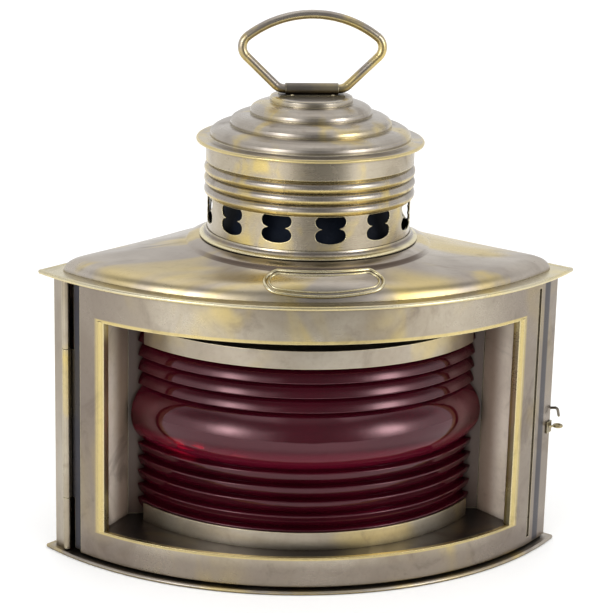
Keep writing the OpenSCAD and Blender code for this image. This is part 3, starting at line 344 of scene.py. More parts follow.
def band(axis, low, high, soft=0.0004, both=False):
    """A zone between two heights or two places along an axis; both takes in the far side."""
    def mask(n, place):
        value = n.add("ShaderNodeSeparateXYZ", {0: place}).outputs[axis]
        if both:
            value = n.math("ABSOLUTE", value)
        return n.math("MULTIPLY", n.remap(value, low - soft, low + soft),
                      n.remap(value, high - soft, high + soft, 1.0, 0.0))
    return mask


def within(radius, soft=0.0003, centre=(0.0, 0.0)):
    """A zone nearer to a vertical axis than the radius."""
    def mask(n, place):
        part = n.add("ShaderNodeSeparateXYZ", {0: place}).outputs
        x = n.math("SUBTRACT", part["X"], centre[0])
        y = n.math("SUBTRACT", part["Y"], centre[1])
        far = n.math("SQRT", n.math("MULTIPLY_ADD", x, x, n.math("MULTIPLY", y, y)))
        return n.remap(far, radius - soft, radius + soft, 1.0, 0.0)
    return mask


def beyond(radius, soft=0.0003, centre=(0.0, 0.0)):
    """A zone farther from a vertical axis than the radius."""
    def mask(n, place):
        return n.math("SUBTRACT", 1.0, within(radius, soft, centre)(n, place))
    return mask


def both_of(first, second):
    """The zone that two zones share."""
    def mask(n, place):
        return n.math("MULTIPLY", first(n, place), second(n, place))
    return mask


def facing_down(n, place):
    """A zone of everything that leans towards the floor, which gets a painted yellow reflection."""
    lean = n.add("ShaderNodeNewGeometry").outputs["Normal"]
    return n.remap(n.add("ShaderNodeSeparateXYZ", {0: lean}).outputs["Z"], 0.12, -0.30)


def window_fold(n, place):
    """A zone round the window's opening, as wide as its folded edge."""
    part = n.add("ShaderNodeSeparateXYZ", {0: place}).outputs
    aside = n.math("SUBTRACT", n.math("ABSOLUTE", part["X"]), WINDOW_SIDE)
    middle, half = (WINDOW_LOW + WINDOW_HIGH) / 2, (WINDOW_HIGH - WINDOW_LOW) / 2
    above = n.math("SUBTRACT", n.math("ABSOLUTE", n.math("SUBTRACT", part["Z"], middle)), half)
    out = n.math("MAXIMUM", aside, n.math("MULTIPLY", above, 2.6))
    return n.math("MULTIPLY", n.remap(out, -0.006, -0.004), n.remap(out, 0.0030, 0.0052, 1.0, 0.0))


def brass(name, gold=0.35, stain=0.35, rough=0.30, grain=LATHE, scale=1.0, seed=0.0,
          edge=None, radius=0.0008, dents=1.0, stretch=EVEN, zones=(), tint=1.0, cloud=0.6,
          metal=1.0):
    """Antiqued brass: grey-beige sheet, yellow where it is rubbed and as a painted reflection on
    faces that lean down, brown dirt and painted shade in its corners.

    zones holds (mask, colour, strength) triples that are laid over the finish."""
    made = bpy.data.materials.get(name)
    if made:
        return made
    f = bpy.context.scene.lamp_finish
    material, n, shader, place, _ = new_material(name)
    spots = use(n, "Patina", patina_group, Vector=place, Scale=scale, Seed=seed, Stretch=stretch)
    edge_wear_and_shade = use(n, "Edge Wear and Shade", wear_and_shade_masks, Radius=radius, Vector=place)
    sheet = use(n, "Worked Sheet", sheet_group, Vector=place, Grain=grain,
                Dents=f.dents * dents)
    body = [c * tint for c in f.sheet]
    col = n.mix(n.math("MULTIPLY", spots["Cloud"], cloud), body, [c * tint for c in f.dull])
    col = n.mix(n.math("MULTIPLY", spots["Rubbed"], gold), col, tuple(f.gold))
    # Painted reflection: faces that lean towards the floor are tinted rubbed yellow.
    col = n.mix(n.math("MULTIPLY", facing_down(n, place), gold), col, tuple(f.gold))
    for mask, tone, strength in zones:
        col = n.mix(n.math("MULTIPLY", mask(n, place), strength), col, tuple(tone))
    col = n.mix(n.math("MULTIPLY", spots["Stain"], stain), col, tuple(f.stain))
    col = n.mix(n.math("MULTIPLY", spots["Speck"], 0.12), col, tuple(f.stain))
    # Painted shade and dirt: the shut-in corners are darkened towards a deep brown.
    col = n.mix(n.math("MULTIPLY", edge_wear_and_shade["Corner"], 0.90), col, tuple(0.4 * c for c in f.stain))
    col = n.mix(n.math("MULTIPLY", edge_wear_and_shade["Edge"], f.rubbing if edge is None else edge),
                col, tuple(f.edge))
    n.put(shader.inputs["Base Color"], col)
    shader.inputs["Metallic"].default_value = metal
    dull = n.math("MULTIPLY_ADD", spots["Stain"], 0.14, rough)
    dull = n.math("MULTIPLY_ADD", spots["Cloud"], 0.05, dull)
    dull = n.math("MULTIPLY_ADD", sheet["Lines"], 0.10, dull)
    dull = n.math("MULTIPLY_ADD", edge_wear_and_shade["Edge"], -0.06, dull)
    n.put(shader.inputs["Roughness"], n.math("ADD", dull, -0.04, clamp=True))
    round_edge = n.add("ShaderNodeBevel", {"Radius": 0.0004}, samples=4).outputs[0]
    bump = n.add("ShaderNodeBump", {
        "Height": sheet["Height"], "Normal": round_edge, "Strength": 1.0, "Distance": 1.0})
    n.put(shader.inputs["Normal"], bump.outputs[0])
    return material


def sooted(name):
    """Metal blackened by the flame, with a blue cast."""
    f = bpy.context.scene.lamp_finish
    material, n, shader, place, _ = new_material(name)
    spots = use(n, "Patina", patina_group, Vector=place, Scale=2.0, Seed=4.0)
    col = n.mix(n.math("MULTIPLY", spots["Cloud"], 0.6), tuple(f.soot), (0.008, 0.009, 0.012))
    n.put(shader.inputs["Base Color"], col)
    n.put(shader.inputs["Roughness"], n.math("MULTIPLY_ADD", spots["Speck"], 0.2, 0.7))
    shader.inputs["Specular IOR Level"].default_value = 0.15
    bump = n.add("ShaderNodeBump", {"Height": spots["Speck"], "Distance": 0.00005})
    n.put(shader.inputs["Normal"], bump.outputs[0])
    return material


def red_glass(name):
    """Dark red pressed glass with soft ripples, a painted lighter red reflection on the lower belt
    and a few painted streaks of light shining through.
    """
    f, s = bpy.context.scene.lamp_finish, bpy.context.scene.lamp_sizes
    material, n, shader, place, _ = new_material(name)
    slow = n.noise(place, 60.0, 2.0, 0.4)
    fine = n.noise(place, 420.0, 2.0, 0.5)
    tone = n.remap(n.noise(place, 24.0, 3.0, 0.5), 0.3, 0.7)
    col = n.mix(tone, tuple(f.glass), tuple(min(1, c * 1.5) for c in f.glass))
    middle = (LENS_LOW.z + LENS_HIGH.z) / 2
    # Painted reflection: the lower half of the belt is a lighter red, where it faces the bright
    # floor.
    belt = band("Z", middle - 0.011, middle - 0.001, 0.002)(n, place)
    col = n.mix(belt, col, tuple(min(1, c * 3.4) for c in f.glass))
    # Painted light: a few bright red streaks on the left of the belt, as light shining through the
    # glass from behind.
    spots = n.noise(n.stretch(place, (55.0, 55.0, 190.0)), 1.0, 2.0, 0.5)
    spots = n.math("MULTIPLY", n.remap(spots, 0.53, 0.62), belt)
    spots = n.math("MULTIPLY", spots, band("X", -0.070, -0.036, 0.006)(n, place))
    col = n.mix(n.math("MULTIPLY", spots, 0.9), col, (0.60, 0.008, 0.040))
    n.put(shader.inputs["Base Color"], col)
    n.put(shader.inputs["Roughness"], n.remap(fine, 0.3, 0.8, 0.03, 0.09))
    shader.inputs["IOR"].default_value = 1.52
    crest = beyond(s.glass_r + s.rib_out - 0.0009, 0.0004, (0.0, s.glass_centre))(n, place)
    shine = n.math("MULTIPLY_ADD", crest, 0.7, 0.05)
    belt = band("Z", middle - s.belt_h / 2, middle + s.belt_h / 2 + s.rib_pitch, 0.0006)
    gloss = n.remap(n.add("ShaderNodeSeparateXYZ", {0: place}).outputs["Z"],
                    middle - 0.001, middle + 0.003, 0.35, 1.0)
    shine = n.math("MULTIPLY_ADD", belt(n, place), n.math("SUBTRACT", gloss, shine), shine)
    n.put(shader.inputs["Specular IOR Level"], shine)
    shader.inputs["Specular Tint"].default_value = (1.0, 0.60, 0.65, 1.0)
    shader.inputs["Transmission Weight"].default_value = f.clear
    height = n.math("MULTIPLY_ADD", fine, 0.00001, n.math("MULTIPLY", slow, 0.00025))
    bump = n.add("ShaderNodeBump", {"Height": height, "Distance": 1.0})
    n.put(shader.inputs["Normal"], bump.outputs[0])
    return material


def woven_cotton(name):
    """Flat woven wick, charred at its top."""
    material, n, shader, place, _ = new_material(name)
    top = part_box("wick")[1].z
    weave = n.add("ShaderNodeTexWave", {"Vector": place, "Scale": 380.0, "Distortion": 0.6},
                  bands_direction="Z").outputs["Fac"]
    warp = n.add("ShaderNodeTexWave", {"Vector": place, "Scale": 300.0, "Distortion": 0.4},
                 bands_direction="X").outputs["Fac"]
    cloth = n.math("MULTIPLY", weave, warp)
    height = n.add("ShaderNodeSeparateXYZ", {0: place}).outputs["Z"]
    charred = n.remap(height, top - 0.004, top - 0.0005)
    col = n.mix(cloth, (0.42, 0.36, 0.26), (0.80, 0.75, 0.62))
    col = n.mix(charred, col, (0.02, 0.017, 0.014))
    n.put(shader.inputs["Base Color"], col)
    n.put(shader.inputs["Roughness"], n.math("MULTIPLY_ADD", cloth, -0.1, 0.95))
    shader.inputs["Sheen Weight"].default_value = 0.3
    bump = n.add("ShaderNodeBump", {"Height": cloth, "Distance": 0.0002})
    n.put(shader.inputs["Normal"], bump.outputs[0])
    return material


def oiled_leather(name):
    """Washer of oiled leather."""
    material, n, shader, place, _ = new_material(name)
    cells = n.add("ShaderNodeTexVoronoi", {"Vector": place, "Scale": 1400.0}).outputs["Distance"]
    tone = n.noise(place, 300.0, 3.0, 0.6)
    n.put(shader.inputs["Base Color"], n.mix(tone, (0.10, 0.055, 0.030), (0.24, 0.14, 0.08)))
    n.put(shader.inputs["Roughness"], n.math("MULTIPLY_ADD", tone, 0.2, 0.5))
    bump = n.add("ShaderNodeBump", {"Height": cells, "Distance": 0.0001})
    n.put(shader.inputs["Normal"], bump.outputs[0])
    return material


# Mesh helpers


def shade(obj, angle=SOFT):
    """Smooth shading that keeps the corners sharper than the angle."""
    obj.data.shade_smooth()
    obj.data.set_sharp_from_angle(angle=angle)


def dress(node, material, angle=SOFT):
    """Gives a CAD node its finish."""
    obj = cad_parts[node]
    obj.data.materials.clear()
    obj.data.materials.append(material)
    shade(obj, angle)
    return obj


def piece(name, verts, faces, material, body, replaced=(), angle=SOFT):
    """A new mesh piece that rides on a body and stands for CAD nodes."""
    mesh = bpy.data.meshes.new(name)
    mesh.from_pydata([tuple(v) for v in verts], [], faces)
    bm = bmesh.new()
    bm.from_mesh(mesh)
    bmesh.ops.recalc_face_normals(bm, faces=bm.faces)
    bm.to_mesh(mesh)
    bm.free()
    mesh.materials.append(material)
    obj = bpy.data.objects.new(name, mesh)
    bpy.context.scene.collection.objects.link(obj)
    shade(obj, angle)
    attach(obj, body)
    if replaced:
        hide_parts(*replaced)
    return obj


def sweep(path, radius, sides=12, up=Vector((0, 0, 1))):
    """Points and faces of a round tube along a closed path."""
    verts, count = [], len(path)
    for i, p in enumerate(path):
        t = (path[(i + 1) % count] - path[i - 1]).normalized()
        side = t.cross(up).normalized()
        top = side.cross(t)
        for k in range(sides):
            w = 2 * math.pi * k / sides
            verts.append(p + radius * (side * math.cos(w) + top * math.sin(w)))
    return verts, ring_grid(sides, count, True)


def ring_grid(rows, around, closed_rows, closed_around=True):
    """Faces of a grid of points: rows along a profile, copies around."""
    faces = []
    for i in range(around if closed_around else around - 1):
        j = (i + 1) % around
        for k in range(rows if closed_rows else rows - 1):
            m = (k + 1) % rows
            faces.append((i * rows + k, i * rows + m, j * rows + m, j * rows + k))
    return faces


def revolve(profile, start, end, steps, centre=(0.0, 0.0)):
    """Points and faces of a closed profile of (radius, height) turned about a vertical axis."""
    full = abs(end - start - 2 * math.pi) < 1e-6
    around = steps if full else steps + 1
    verts = []
    for i in range(around):
        a = start + (end - start) * i / steps
        for r, z in profile:
            verts.append((centre[0] + r * math.sin(a), centre[1] - r * math.cos(a), z))
    faces = ring_grid(len(profile), around, True, full)
    if not full:
        faces.append(tuple(range(len(profile))))
        faces.append(tuple((around - 1) * len(profile) + k for k in range(len(profile))))
    return verts, faces


# Operators


class PieceOperator:
    """What every operator of the lamp shares."""

    bl_options = {"REGISTER", "UNDO"}

    def execute(self, context):
        self.build(context.scene)
        return {"FINISHED"}


class LAMP_OT_case(PieceOperator, bpy.types.Operator):
    """Finishes the side walls, the back plate, its socket and rivets"""

    bl_idname = "lamp.case"
    bl_label = "Case"

    def build(self, scene):
        side = brass("Wall brass", 0.30, 0.45, 0.30, ALONG_Z, seed=1.0, stretch=DRAWN_DOWN)
        for node in ("left_side_wall", "right_side_wall"):
            dress(node, side)
        back = brass("Back brass", 0.25, 0.55, 0.36, ALONG_Z, seed=2.0)
        dress("back_plate", back)
        dress("rear_socket", back)
        dress("back_rivets", brass("Rivet brass", 0.6, 0.3, 0.26, LATHE, 3.0, 3.0))


class LAMP_OT_base(PieceOperator, bpy.types.Operator):
    """Finishes the base plate with its rolled edge and the seat of the font"""

    bl_idname = "lamp.base"
    bl_label = "Base"

    def build(self, scene):
        dress("base_plate", brass("Base brass", 0.7, 0.35, 0.28, ALONG_X, seed=5.0))
        dress("font_seat", brass("Seat brass", 0.2, 0.6, 0.40, LATHE, 2.0, 6.0))


class LAMP_OT_roof(PieceOperator, bpy.types.Operator):
    """Builds the domed roof shell and the raised border of its bare label"""

    bl_idname = "lamp.roof"
    bl_label = "Roof"

    def build(self, scene):
        f = scene.lamp_finish
        dress("top_flange", brass(
            "Flange brass", 0.75, 0.20, 0.24, ALONG_X, seed=7.0, cloud=0.2,
            zones=[(band("Z", FLANGE_LOW.z - 0.001, FLANGE_HIGH.z + 0.001), f.edge, 0.5)]))
        # Painted sheen: rubbed-yellow patches on the roof's front, left and right of the label, where
        # the side lights shine on it.
        right = both_of(band("X", 0.034, 0.066, 0.010), band("Y", -0.072, -0.052, 0.006))
        left = both_of(band("X", -0.062, -0.030, 0.012), band("Y", -0.078, -0.062, 0.006))
        roof = brass(
            "Roof brass", 0.75, 0.25, 0.26, ALONG_X, 1.2, 8.0, stretch=DRAWN_ALONG, dents=1.3,
            tint=1.22, cloud=0.6,
            zones=[(right, f.gold, 0.6), (left, f.gold, 0.35),
                   (self.crease(scene.lamp_sizes), f.stain, 0.92)])
        verts, faces = self.shell(scene.lamp_sizes)
        piece("roof_shell", verts, faces, roof, "body", ["roof_dome"])
        border = brass("Border brass", 0.8, 0.2, 0.22, ALONG_X, 3.0, 9.0,
                       zones=[(band("Z", 0, 1), scene.lamp_finish.edge, 0.6)])
        verts, faces = self.label(scene.lamp_sizes)
        piece("label_rim", verts, faces, border, "body", ["label_border"])

    def crease(self, s):
        """The dark line round the foot of the flat ring, on the lamp's front: dirt and painted shade
        in its step.
        """
        ring = both_of(beyond(s.pad_r - 0.0002), within(s.pad_r + 0.0020))
        return both_of(ring, band("Y", -0.1, -0.03, 0.012))

    def label(self, s):
        """Two raised lines round a bare label: long ovals laid on the slope and its edge."""
        verts, faces = [], []
        for inset, bead in ((0.0, s.label_bead), (0.0021, 0.55 * s.label_bead)):
            path = self.oval(s, inset)
            ring, sides = sweep(path, bead)
            faces += [[k + len(verts) for k in face] for face in sides]
            verts += ring
        return verts, faces

    def oval(self, s, inset):
        half = s.label_h / 2 - inset
        straight = s.label_len / 2 - s.label_h / 2
        path = []
        for side in (1, -1):
            for k in range(25):
                w = math.pi * (k / 24 - 0.5)
                path.append((side * (straight + half * math.cos(w)), side * half * math.sin(w)))
            for k in range(1, 28):
                path.append((side * straight * (1 - 2 * k / 28), side * half))
        return [self.on_roof(s, x, y) for x, y in path]

    def on_roof(self, s, x, up):
        """The point of the roof that lies x to the right of the label's middle and up the slope."""
        a = (x + s.label_shift) / s.label_r
        line = self.column(s, a, s.roof_inset, 0)[:-5]
        reach = [0.0]
        for here, there in zip(line, line[1:]):
            reach.append(reach[-1] + math.dist(here, there))
        k = next(k for k, p in enumerate(line) if p[0] < s.label_r)
        t = (line[k - 1][0] - s.label_r) / (line[k - 1][0] - line[k][0])
        goal = min(reach[k - 1] + t * (reach[k] - reach[k - 1]) + up, reach[-1])
        k = next(k for k, so_far in enumerate(reach) if so_far >= goal)
        t = (goal - reach[k - 1]) / (reach[k] - reach[k - 1])
        r, h = (p + t * (q - p) for p, q in zip(line[k - 1], line[k]))
        return Vector((r * math.sin(a), -r * math.cos(a), ROOF_LOW.z + h))

    def foot(self, s, a, inset):
        """Distance from the chimney axis to the dome's foot in direction a."""
        centre = s.front_r - s.front_reach
        r, c = s.front_r - inset, math.cos(a)
        corner_y = centre - math.sqrt(s.front_r ** 2 - s.corner_half ** 2)
        side = (s.corner_half + corner_y) * math.sqrt(0.5) - inset
        front = -centre * c + math.sqrt(centre ** 2 * c * c + r * r - centre ** 2)
        lean = math.sqrt(0.5) * (abs(math.sin(a)) - c)
        reach = [front, side / lean if lean > 0.05 else 1.0,
                 (s.back_reach - inset) / -c if -c > 0.05 else 1.0]
        sharp = 60
        return sum((0.1 / x) ** sharp for x in reach) ** (-1 / sharp) * 0.1

    def column(self, s, a, inset, drop):
        """Profile of the roof in direction a, as (radius, height) from the foot inwards."""
        foot = self.foot(s, a, inset)
        slope_foot = s.pad_r + 0.0012
        run = foot - slope_foot
        edge = min(s.edge_w, 0.85 * run)
        high = ROOF_HIGH.z - ROOF_LOW.z
        shoulder = high - s.pad_drop - s.pad_step
        points = []
        top = Vector((foot - edge, s.edge_h + (shoulder - s.edge_h) * (edge / run) ** 2))
        way = Vector((slope_foot, shoulder)) - top
        lean = Vector((way.x, 0.8 * way.y)).normalized()
        steep = edge / run
        bend = (Vector((foot, 0)), Vector((foot - (0.08 + 0.22 * steep) * s.edge_h,
                                           (0.58 + 0.60 * steep) * s.edge_h)),
                top - 0.5 * edge * lean, top)
        for k in range(15):
            t = k / 14
            point = ((1 - t) ** 3 * bend[0] + 3 * t * (1 - t) ** 2 * bend[1]
                     + 3 * t * t * (1 - t) * bend[2] + t ** 3 * bend[3])
            points.append(tuple(point))
        for k in range(1, 11):
            q = k / 10
            points.append((top.x + q * way.x, top.y + way.y * (0.8 * q + 0.2 * q * q)))
        points += [(s.pad_r + 0.0008, shoulder + 0.25 * s.pad_step),
                   (s.pad_r + 0.0004, shoulder + 0.75 * s.pad_step),
                   (s.pad_r, high - s.pad_drop), (s.pad_r - 0.0038, high),
                   (DRUM_HIGH.x - 0.0034, high)]
        return [(r, h * (high - drop) / high) for r, h in points]

    def shell(self, s):
        around = 288
        verts = []
        rows = 0
        for i in range(around):
            a = 2 * math.pi * i / around
            outer = self.column(s, a, s.roof_inset, 0)
            inner = self.column(s, a, s.roof_inset + s.roof_t, s.roof_t)
            ring = outer + inner[::-1]
            rows = len(ring)
            verts += [(r * math.sin(a), -r * math.cos(a), ROOF_LOW.z + h) for r, h in ring]
        return verts, ring_grid(rows, around, True)


class LAMP_OT_chimney(PieceOperator, bpy.types.Operator):
    """Finishes the pierced drum, its foot collar and the sooted funnel inside"""

    bl_idname = "lamp.chimney"
    bl_label = "Chimney"

    def build(self, scene):
        f = scene.lamp_finish
        skin = DRUM_HIGH.x - 0.0018
        dress("chimney_drum", brass(
            "Drum brass", 0.85, 0.35, 0.22, LATHE, 1.8, 10.0, cloud=0.45, edge=0.9,
            zones=[(within(skin - 0.0007), f.soot, 1.0)]))
        foot = DRUM_LOW.z
        # Painted bands round the collar's foot: a blue-black painted shadow where it meets the roof,
        # a cream band just above and a darker brown band higher up.
        dress("chimney_collar", brass(
            "Collar brass", 0.5, 0.35, 0.24, LATHE, 1.4, 11.0,
            zones=[(band("Z", foot - 0.001, foot + 0.0006), f.seam, 0.85),
                   (band("Z", foot + 0.0008, foot + 0.0019), f.edge, 0.9),
                   (band("Z", foot + 0.0024, foot + 0.0034), f.stain, 0.5)]))
        dress("draught_funnel", sooted("Sooted brass"))


class LAMP_OT_cap(PieceOperator, bpy.types.Operator):
    """Finishes the stepped cap"""

    bl_idname = "lamp.cap"
    bl_label = "Cap"

    def build(self, scene):
        rim = band("Z", CAP_LOW.z - 0.001, CAP_LOW.z + 0.0024)
        dress("cap", brass(
            "Cap brass", 0.60, 0.35, 0.26, LATHE, 1.8, 12.0, cloud=0.45,
            zones=[(both_of(rim, beyond(CAP_HIGH.x - 0.0010)), scene.lamp_finish.gold, 0.7)]))


class LAMP_OT_bail(PieceOperator, bpy.types.Operator):
    """Finishes the wire bail and the rolled strap that carries it"""

    bl_idname = "lamp.bail"
    bl_label = "Bail"

    def build(self, scene):
        dress("bail", brass("Bail brass", 0.7, 0.35, 0.24, LATHE, 2.0, 13.0))
        dress("bail_strap", brass("Strap brass", 0.2, 0.6, 0.32, ALONG_X, 2.0, 14.0, tint=0.5))
        dress("strap_rivets", brass("Rivet brass", 0.6, 0.3, 0.26, LATHE, 3.0, 3.0))


class LAMP_OT_door(PieceOperator, bpy.types.Operator):
    """Finishes the door, the window box inside it and the channels of the glass"""

    bl_idname = "lamp.door"
    bl_label = "Door"

    def build(self, scene):
        f = scene.lamp_finish
        # Painted shade: the door is darkened towards dull brass on both sides, on its left stile at
        # mid height and along its sill.
        sill = band("Z", 0.0, WINDOW_LOW - 0.004, 0.004)
        stile = both_of(band("X", -0.13, -0.100, 0.006), band("Z", 0.070, 0.102, 0.014))
        # Painted light: the inner faces of the opening, which lie in shade, get the cream of the
        # bright edges.
        turned_in = both_of(band("X", WINDOW_SIDE - 0.0012, WINDOW_SIDE + 0.0004, 0.0004, True),
                            band("Z", WINDOW_LOW, WINDOW_HIGH))
        # Painted shadow: a blue-black band standing for the shaded gap beside the door's right edge.
        gap_shadow = band("X", DOOR_HIGH.x - 0.0085, DOOR_HIGH.x - 0.0050, 0.0005)
        dress("door", brass(
            "Door brass", 0.65, 0.45, 0.26, ALONG_X, 1.5, 15.0, stretch=(0.8, 0.8, 0.7), cloud=0.7,
            zones=[(band("X", 0.085, 0.2, 0.02, True), f.dull, 0.7), (stile, f.dull, 0.55),
                   (sill, f.dull, 0.65), (window_fold, f.gold, 0.80), (window_fold, f.edge, 0.12),
                   (turned_in, f.edge, 0.85),
                   (gap_shadow, f.seam, 0.85)]))
        # Painted light and shade: the cheeks are a much lighter, mostly dull copy of the brass
        # standing for the light they reflect, browned all over and darkened beside the glass as
        # painted shade.
        glass_side = band("X", 0.0, WINDOW_SIDE - 0.0060, 0.003, True)
        cheek = brass("Cheek brass", 0.30, 0.55, 0.36, ALONG_Z, 0.9, 16.0, tint=2.5, cloud=0.5,
                      zones=[(band("Z", 0, 1), f.shade_brown, 0.32), (glass_side, f.shade_brown, 0.80)],
                      metal=0.2)
        # Painted shade: the glass stops are dull dark brown, standing for the shaded gap between
        # cheek and glass.
        stop = brass("Stop brass", 0.1, 0.7, 0.40, ALONG_Z, 1.2, 27.0, tint=0.35,
                     zones=[(band("Z", 0, 1), (0.075, 0.040, 0.027), 0.9)], metal=0.0)
        for side, name in ((-1, "left_glass_stop"), (1, "right_glass_stop")):
            verts, faces = self.stop(scene.lamp_sizes, side)
            piece(name, verts, faces, stop, "door_panel")
        for node in ("left_cheek", "right_cheek"):
            dress(node, cheek)
        # Painted shade: the window's floor and ceiling are a dark copy of the brass, drawn further
        # towards blue-black.
        floor = brass("Window brass", 0.15, 0.5, 0.30, ALONG_X, 1.5, 17.0, tint=0.45,
                      zones=[(band("Z", 0, 1), f.seam, 0.4)])
        for node in ("window_floor", "window_ceiling"):
            dress(node, floor)
        channel = brass("Channel brass", 0.5, 0.35, 0.30, ALONG_X, seed=18.0)
        for node in ("upper_lens_channel", "lower_lens_channel"):
            dress(node, channel)


    def stop(self, s, side):
        """Inner edge of a cheek, folded in behind the end of the glass."""
        cheek_end = Vector(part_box("right_cheek")[0]).x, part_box("right_cheek")[1].y
        out = Vector((math.sin(s.glass_half), -math.cos(s.glass_half)))
        along = Vector((math.cos(s.glass_half), math.sin(s.glass_half)))
        centre = Vector((0, s.glass_centre))
        near = centre + (s.glass_r + 0.003) * out + 0.0012 * along
        deep = centre + (s.glass_r - 0.003) * out + 0.0012 * along
        line = [Vector(cheek_end), near, deep]
        thick = 0.0005 * along
        ring = line + [p + thick for p in reversed(line)]
        verts = [(side * p.x, p.y, z) for z in (WINDOW_LOW, WINDOW_HIGH) for p in ring]
        count = len(ring)
        faces = [tuple(range(count)), tuple(range(count, 2 * count))]
        faces += [(k, (k + 1) % count, (k + 1) % count + count, k + count) for k in range(count)]
        return verts, faces


class LAMP_OT_glass(PieceOperator, bpy.types.Operator):
    """Builds the ribbed red glass"""

    bl_idname = "lamp.glass"
    bl_label = "Glass"

    def build(self, scene):
        s = scene.lamp_sizes
        profile = self.profile(s)
        verts, faces = revolve(profile, -s.glass_half, s.glass_half, 240, (0.0, s.glass_centre))
        piece("red_lens", verts, faces, red_glass("Red glass"), "door_panel",
              ["lens"], math.radians(40))

    def ribs(self, s, side, first, count):
        """Outline of the prisms above or below the belt, from the belt outwards."""
        points = []
        crest, turn = s.glass_r + s.rib_out, 0.0006
        for k in range(count):
            z = first + k * s.rib_pitch
            points += [(s.glass_r, z + 0.0001), (crest - turn, z + 0.0003)]
            for q in range(1, 6):
                w = math.pi / 2 * (q / 5 * 1.35 - 1)
                points.append((crest - turn + turn * math.cos(w),
                               z + 0.0003 + turn + turn * math.sin(w)))
            start = points[-1]
            end = (s.glass_r, z + s.rib_pitch)
            for q in range(1, 7):
                t = q / 6
                belly = 0.0005 * math.sin(math.pi * t)
                points.append((start[0] + t * (end[0] - start[0]) + belly,
                               start[1] + t * (end[1] - start[1]) + belly))
        return [(r, side * z) for r, z in points]

    def profile(self, s):
        """Section of the glass: flat back, and a belt with prisms above and below it.

        The belt is one rib taller than the one beside it in the frame, and takes the place
        of the lowest rib above it."""
        half = (LENS_HIGH.z - LENS_LOW.z) / 2
        middle = (LENS_HIGH.z + LENS_LOW.z) / 2
        low = s.belt_h / 2
        top = low + s.rib_pitch
        bow = (s.belt_out ** 2 + (top + low) ** 2 / 4) / (2 * s.belt_out)
        turn = math.asin((top + low) / 2 / bow)
        belt = []
        for k in range(-16, 17):
            w = turn * k / 16
            belt.append((s.glass_r + s.belt_out - bow + bow * math.cos(w),
                         (top - low) / 2 + bow * math.sin(w)))
        inside, edge = s.glass_r - s.glass_t, 0.0003
        outline = [(inside, half - edge), (inside, -half + edge), (inside + edge, -half),
                   (s.glass_r - edge, -half), (s.glass_r, -half + edge)]
        outline += self.ribs(s, -1, low, s.rib_count)[::-1] + belt
        outline += self.ribs(s, 1, top, s.rib_count - 1)
        outline += [(s.glass_r, half - edge), (s.glass_r - edge, half), (inside + edge, half)]
        return [(r, middle + z) for r, z in outline]


class LAMP_OT_hinge(PieceOperator, bpy.types.Operator):
    """Finishes the hinge leaves, their pin and rivets"""

    bl_idname = "lamp.hinge"
    bl_label = "Hinge"

    def build(self, scene):
        pin = (PIN_LOW + PIN_HIGH) / 2
        # Painted shade: the leaves are blue-black away from the barrel, where they lie recessed in
        # shadow.
        leaf = brass(
            "Hinge brass", 0.8, 0.25, 0.26, ALONG_Z, 1.5, 19.0,
            zones=[(beyond(0.0023, 0.0002, (pin.x, pin.y)), scene.lamp_finish.seam, 0.95)])
        for node in ("hinge_body_leaf", "hinge_door_leaf"):
            dress(node, leaf)
        for node in ("hinge_pin", "body_hinge_rivets", "door_hinge_rivets"):
            dress(node, brass("Rivet brass", 0.6, 0.3, 0.26, LATHE, 3.0, 3.0))


class LAMP_OT_latch(PieceOperator, bpy.types.Operator):
    """Finishes the wire latch"""

    bl_idname = "lamp.latch"
    bl_label = "Latch"

    def build(self, scene):
        wire = brass("Latch brass", 0.3, 0.6, 0.32, LATHE, 3.0, 20.0, tint=0.45)
        for node in ("latch_hook", "latch_stud", "latch_eye"):
            dress(node, wire)


class LAMP_OT_burner(PieceOperator, bpy.types.Operator):
    """Finishes the oil font, the burner, the wick and its wheel, and the filler"""

    bl_idname = "lamp.burner"
    bl_label = "Font and burner"

    def build(self, scene):
        tank = brass("Font brass", 0.5, 0.40, 0.28, LATHE, seed=21.0)
        dress("oil_font", tank)
        fine = brass("Burner brass", 0.7, 0.30, 0.26, LATHE, 2.0, 22.0)
        for node in ("burner_collar", "burner_body", "wick_tube", "burner_dome", "wick_knob",
                     "filler_cap"):
            dress(node, fine)
        dress("wick", woven_cotton("Cotton wick"))
        dress("filler_washer", oiled_leather("Leather washer"))


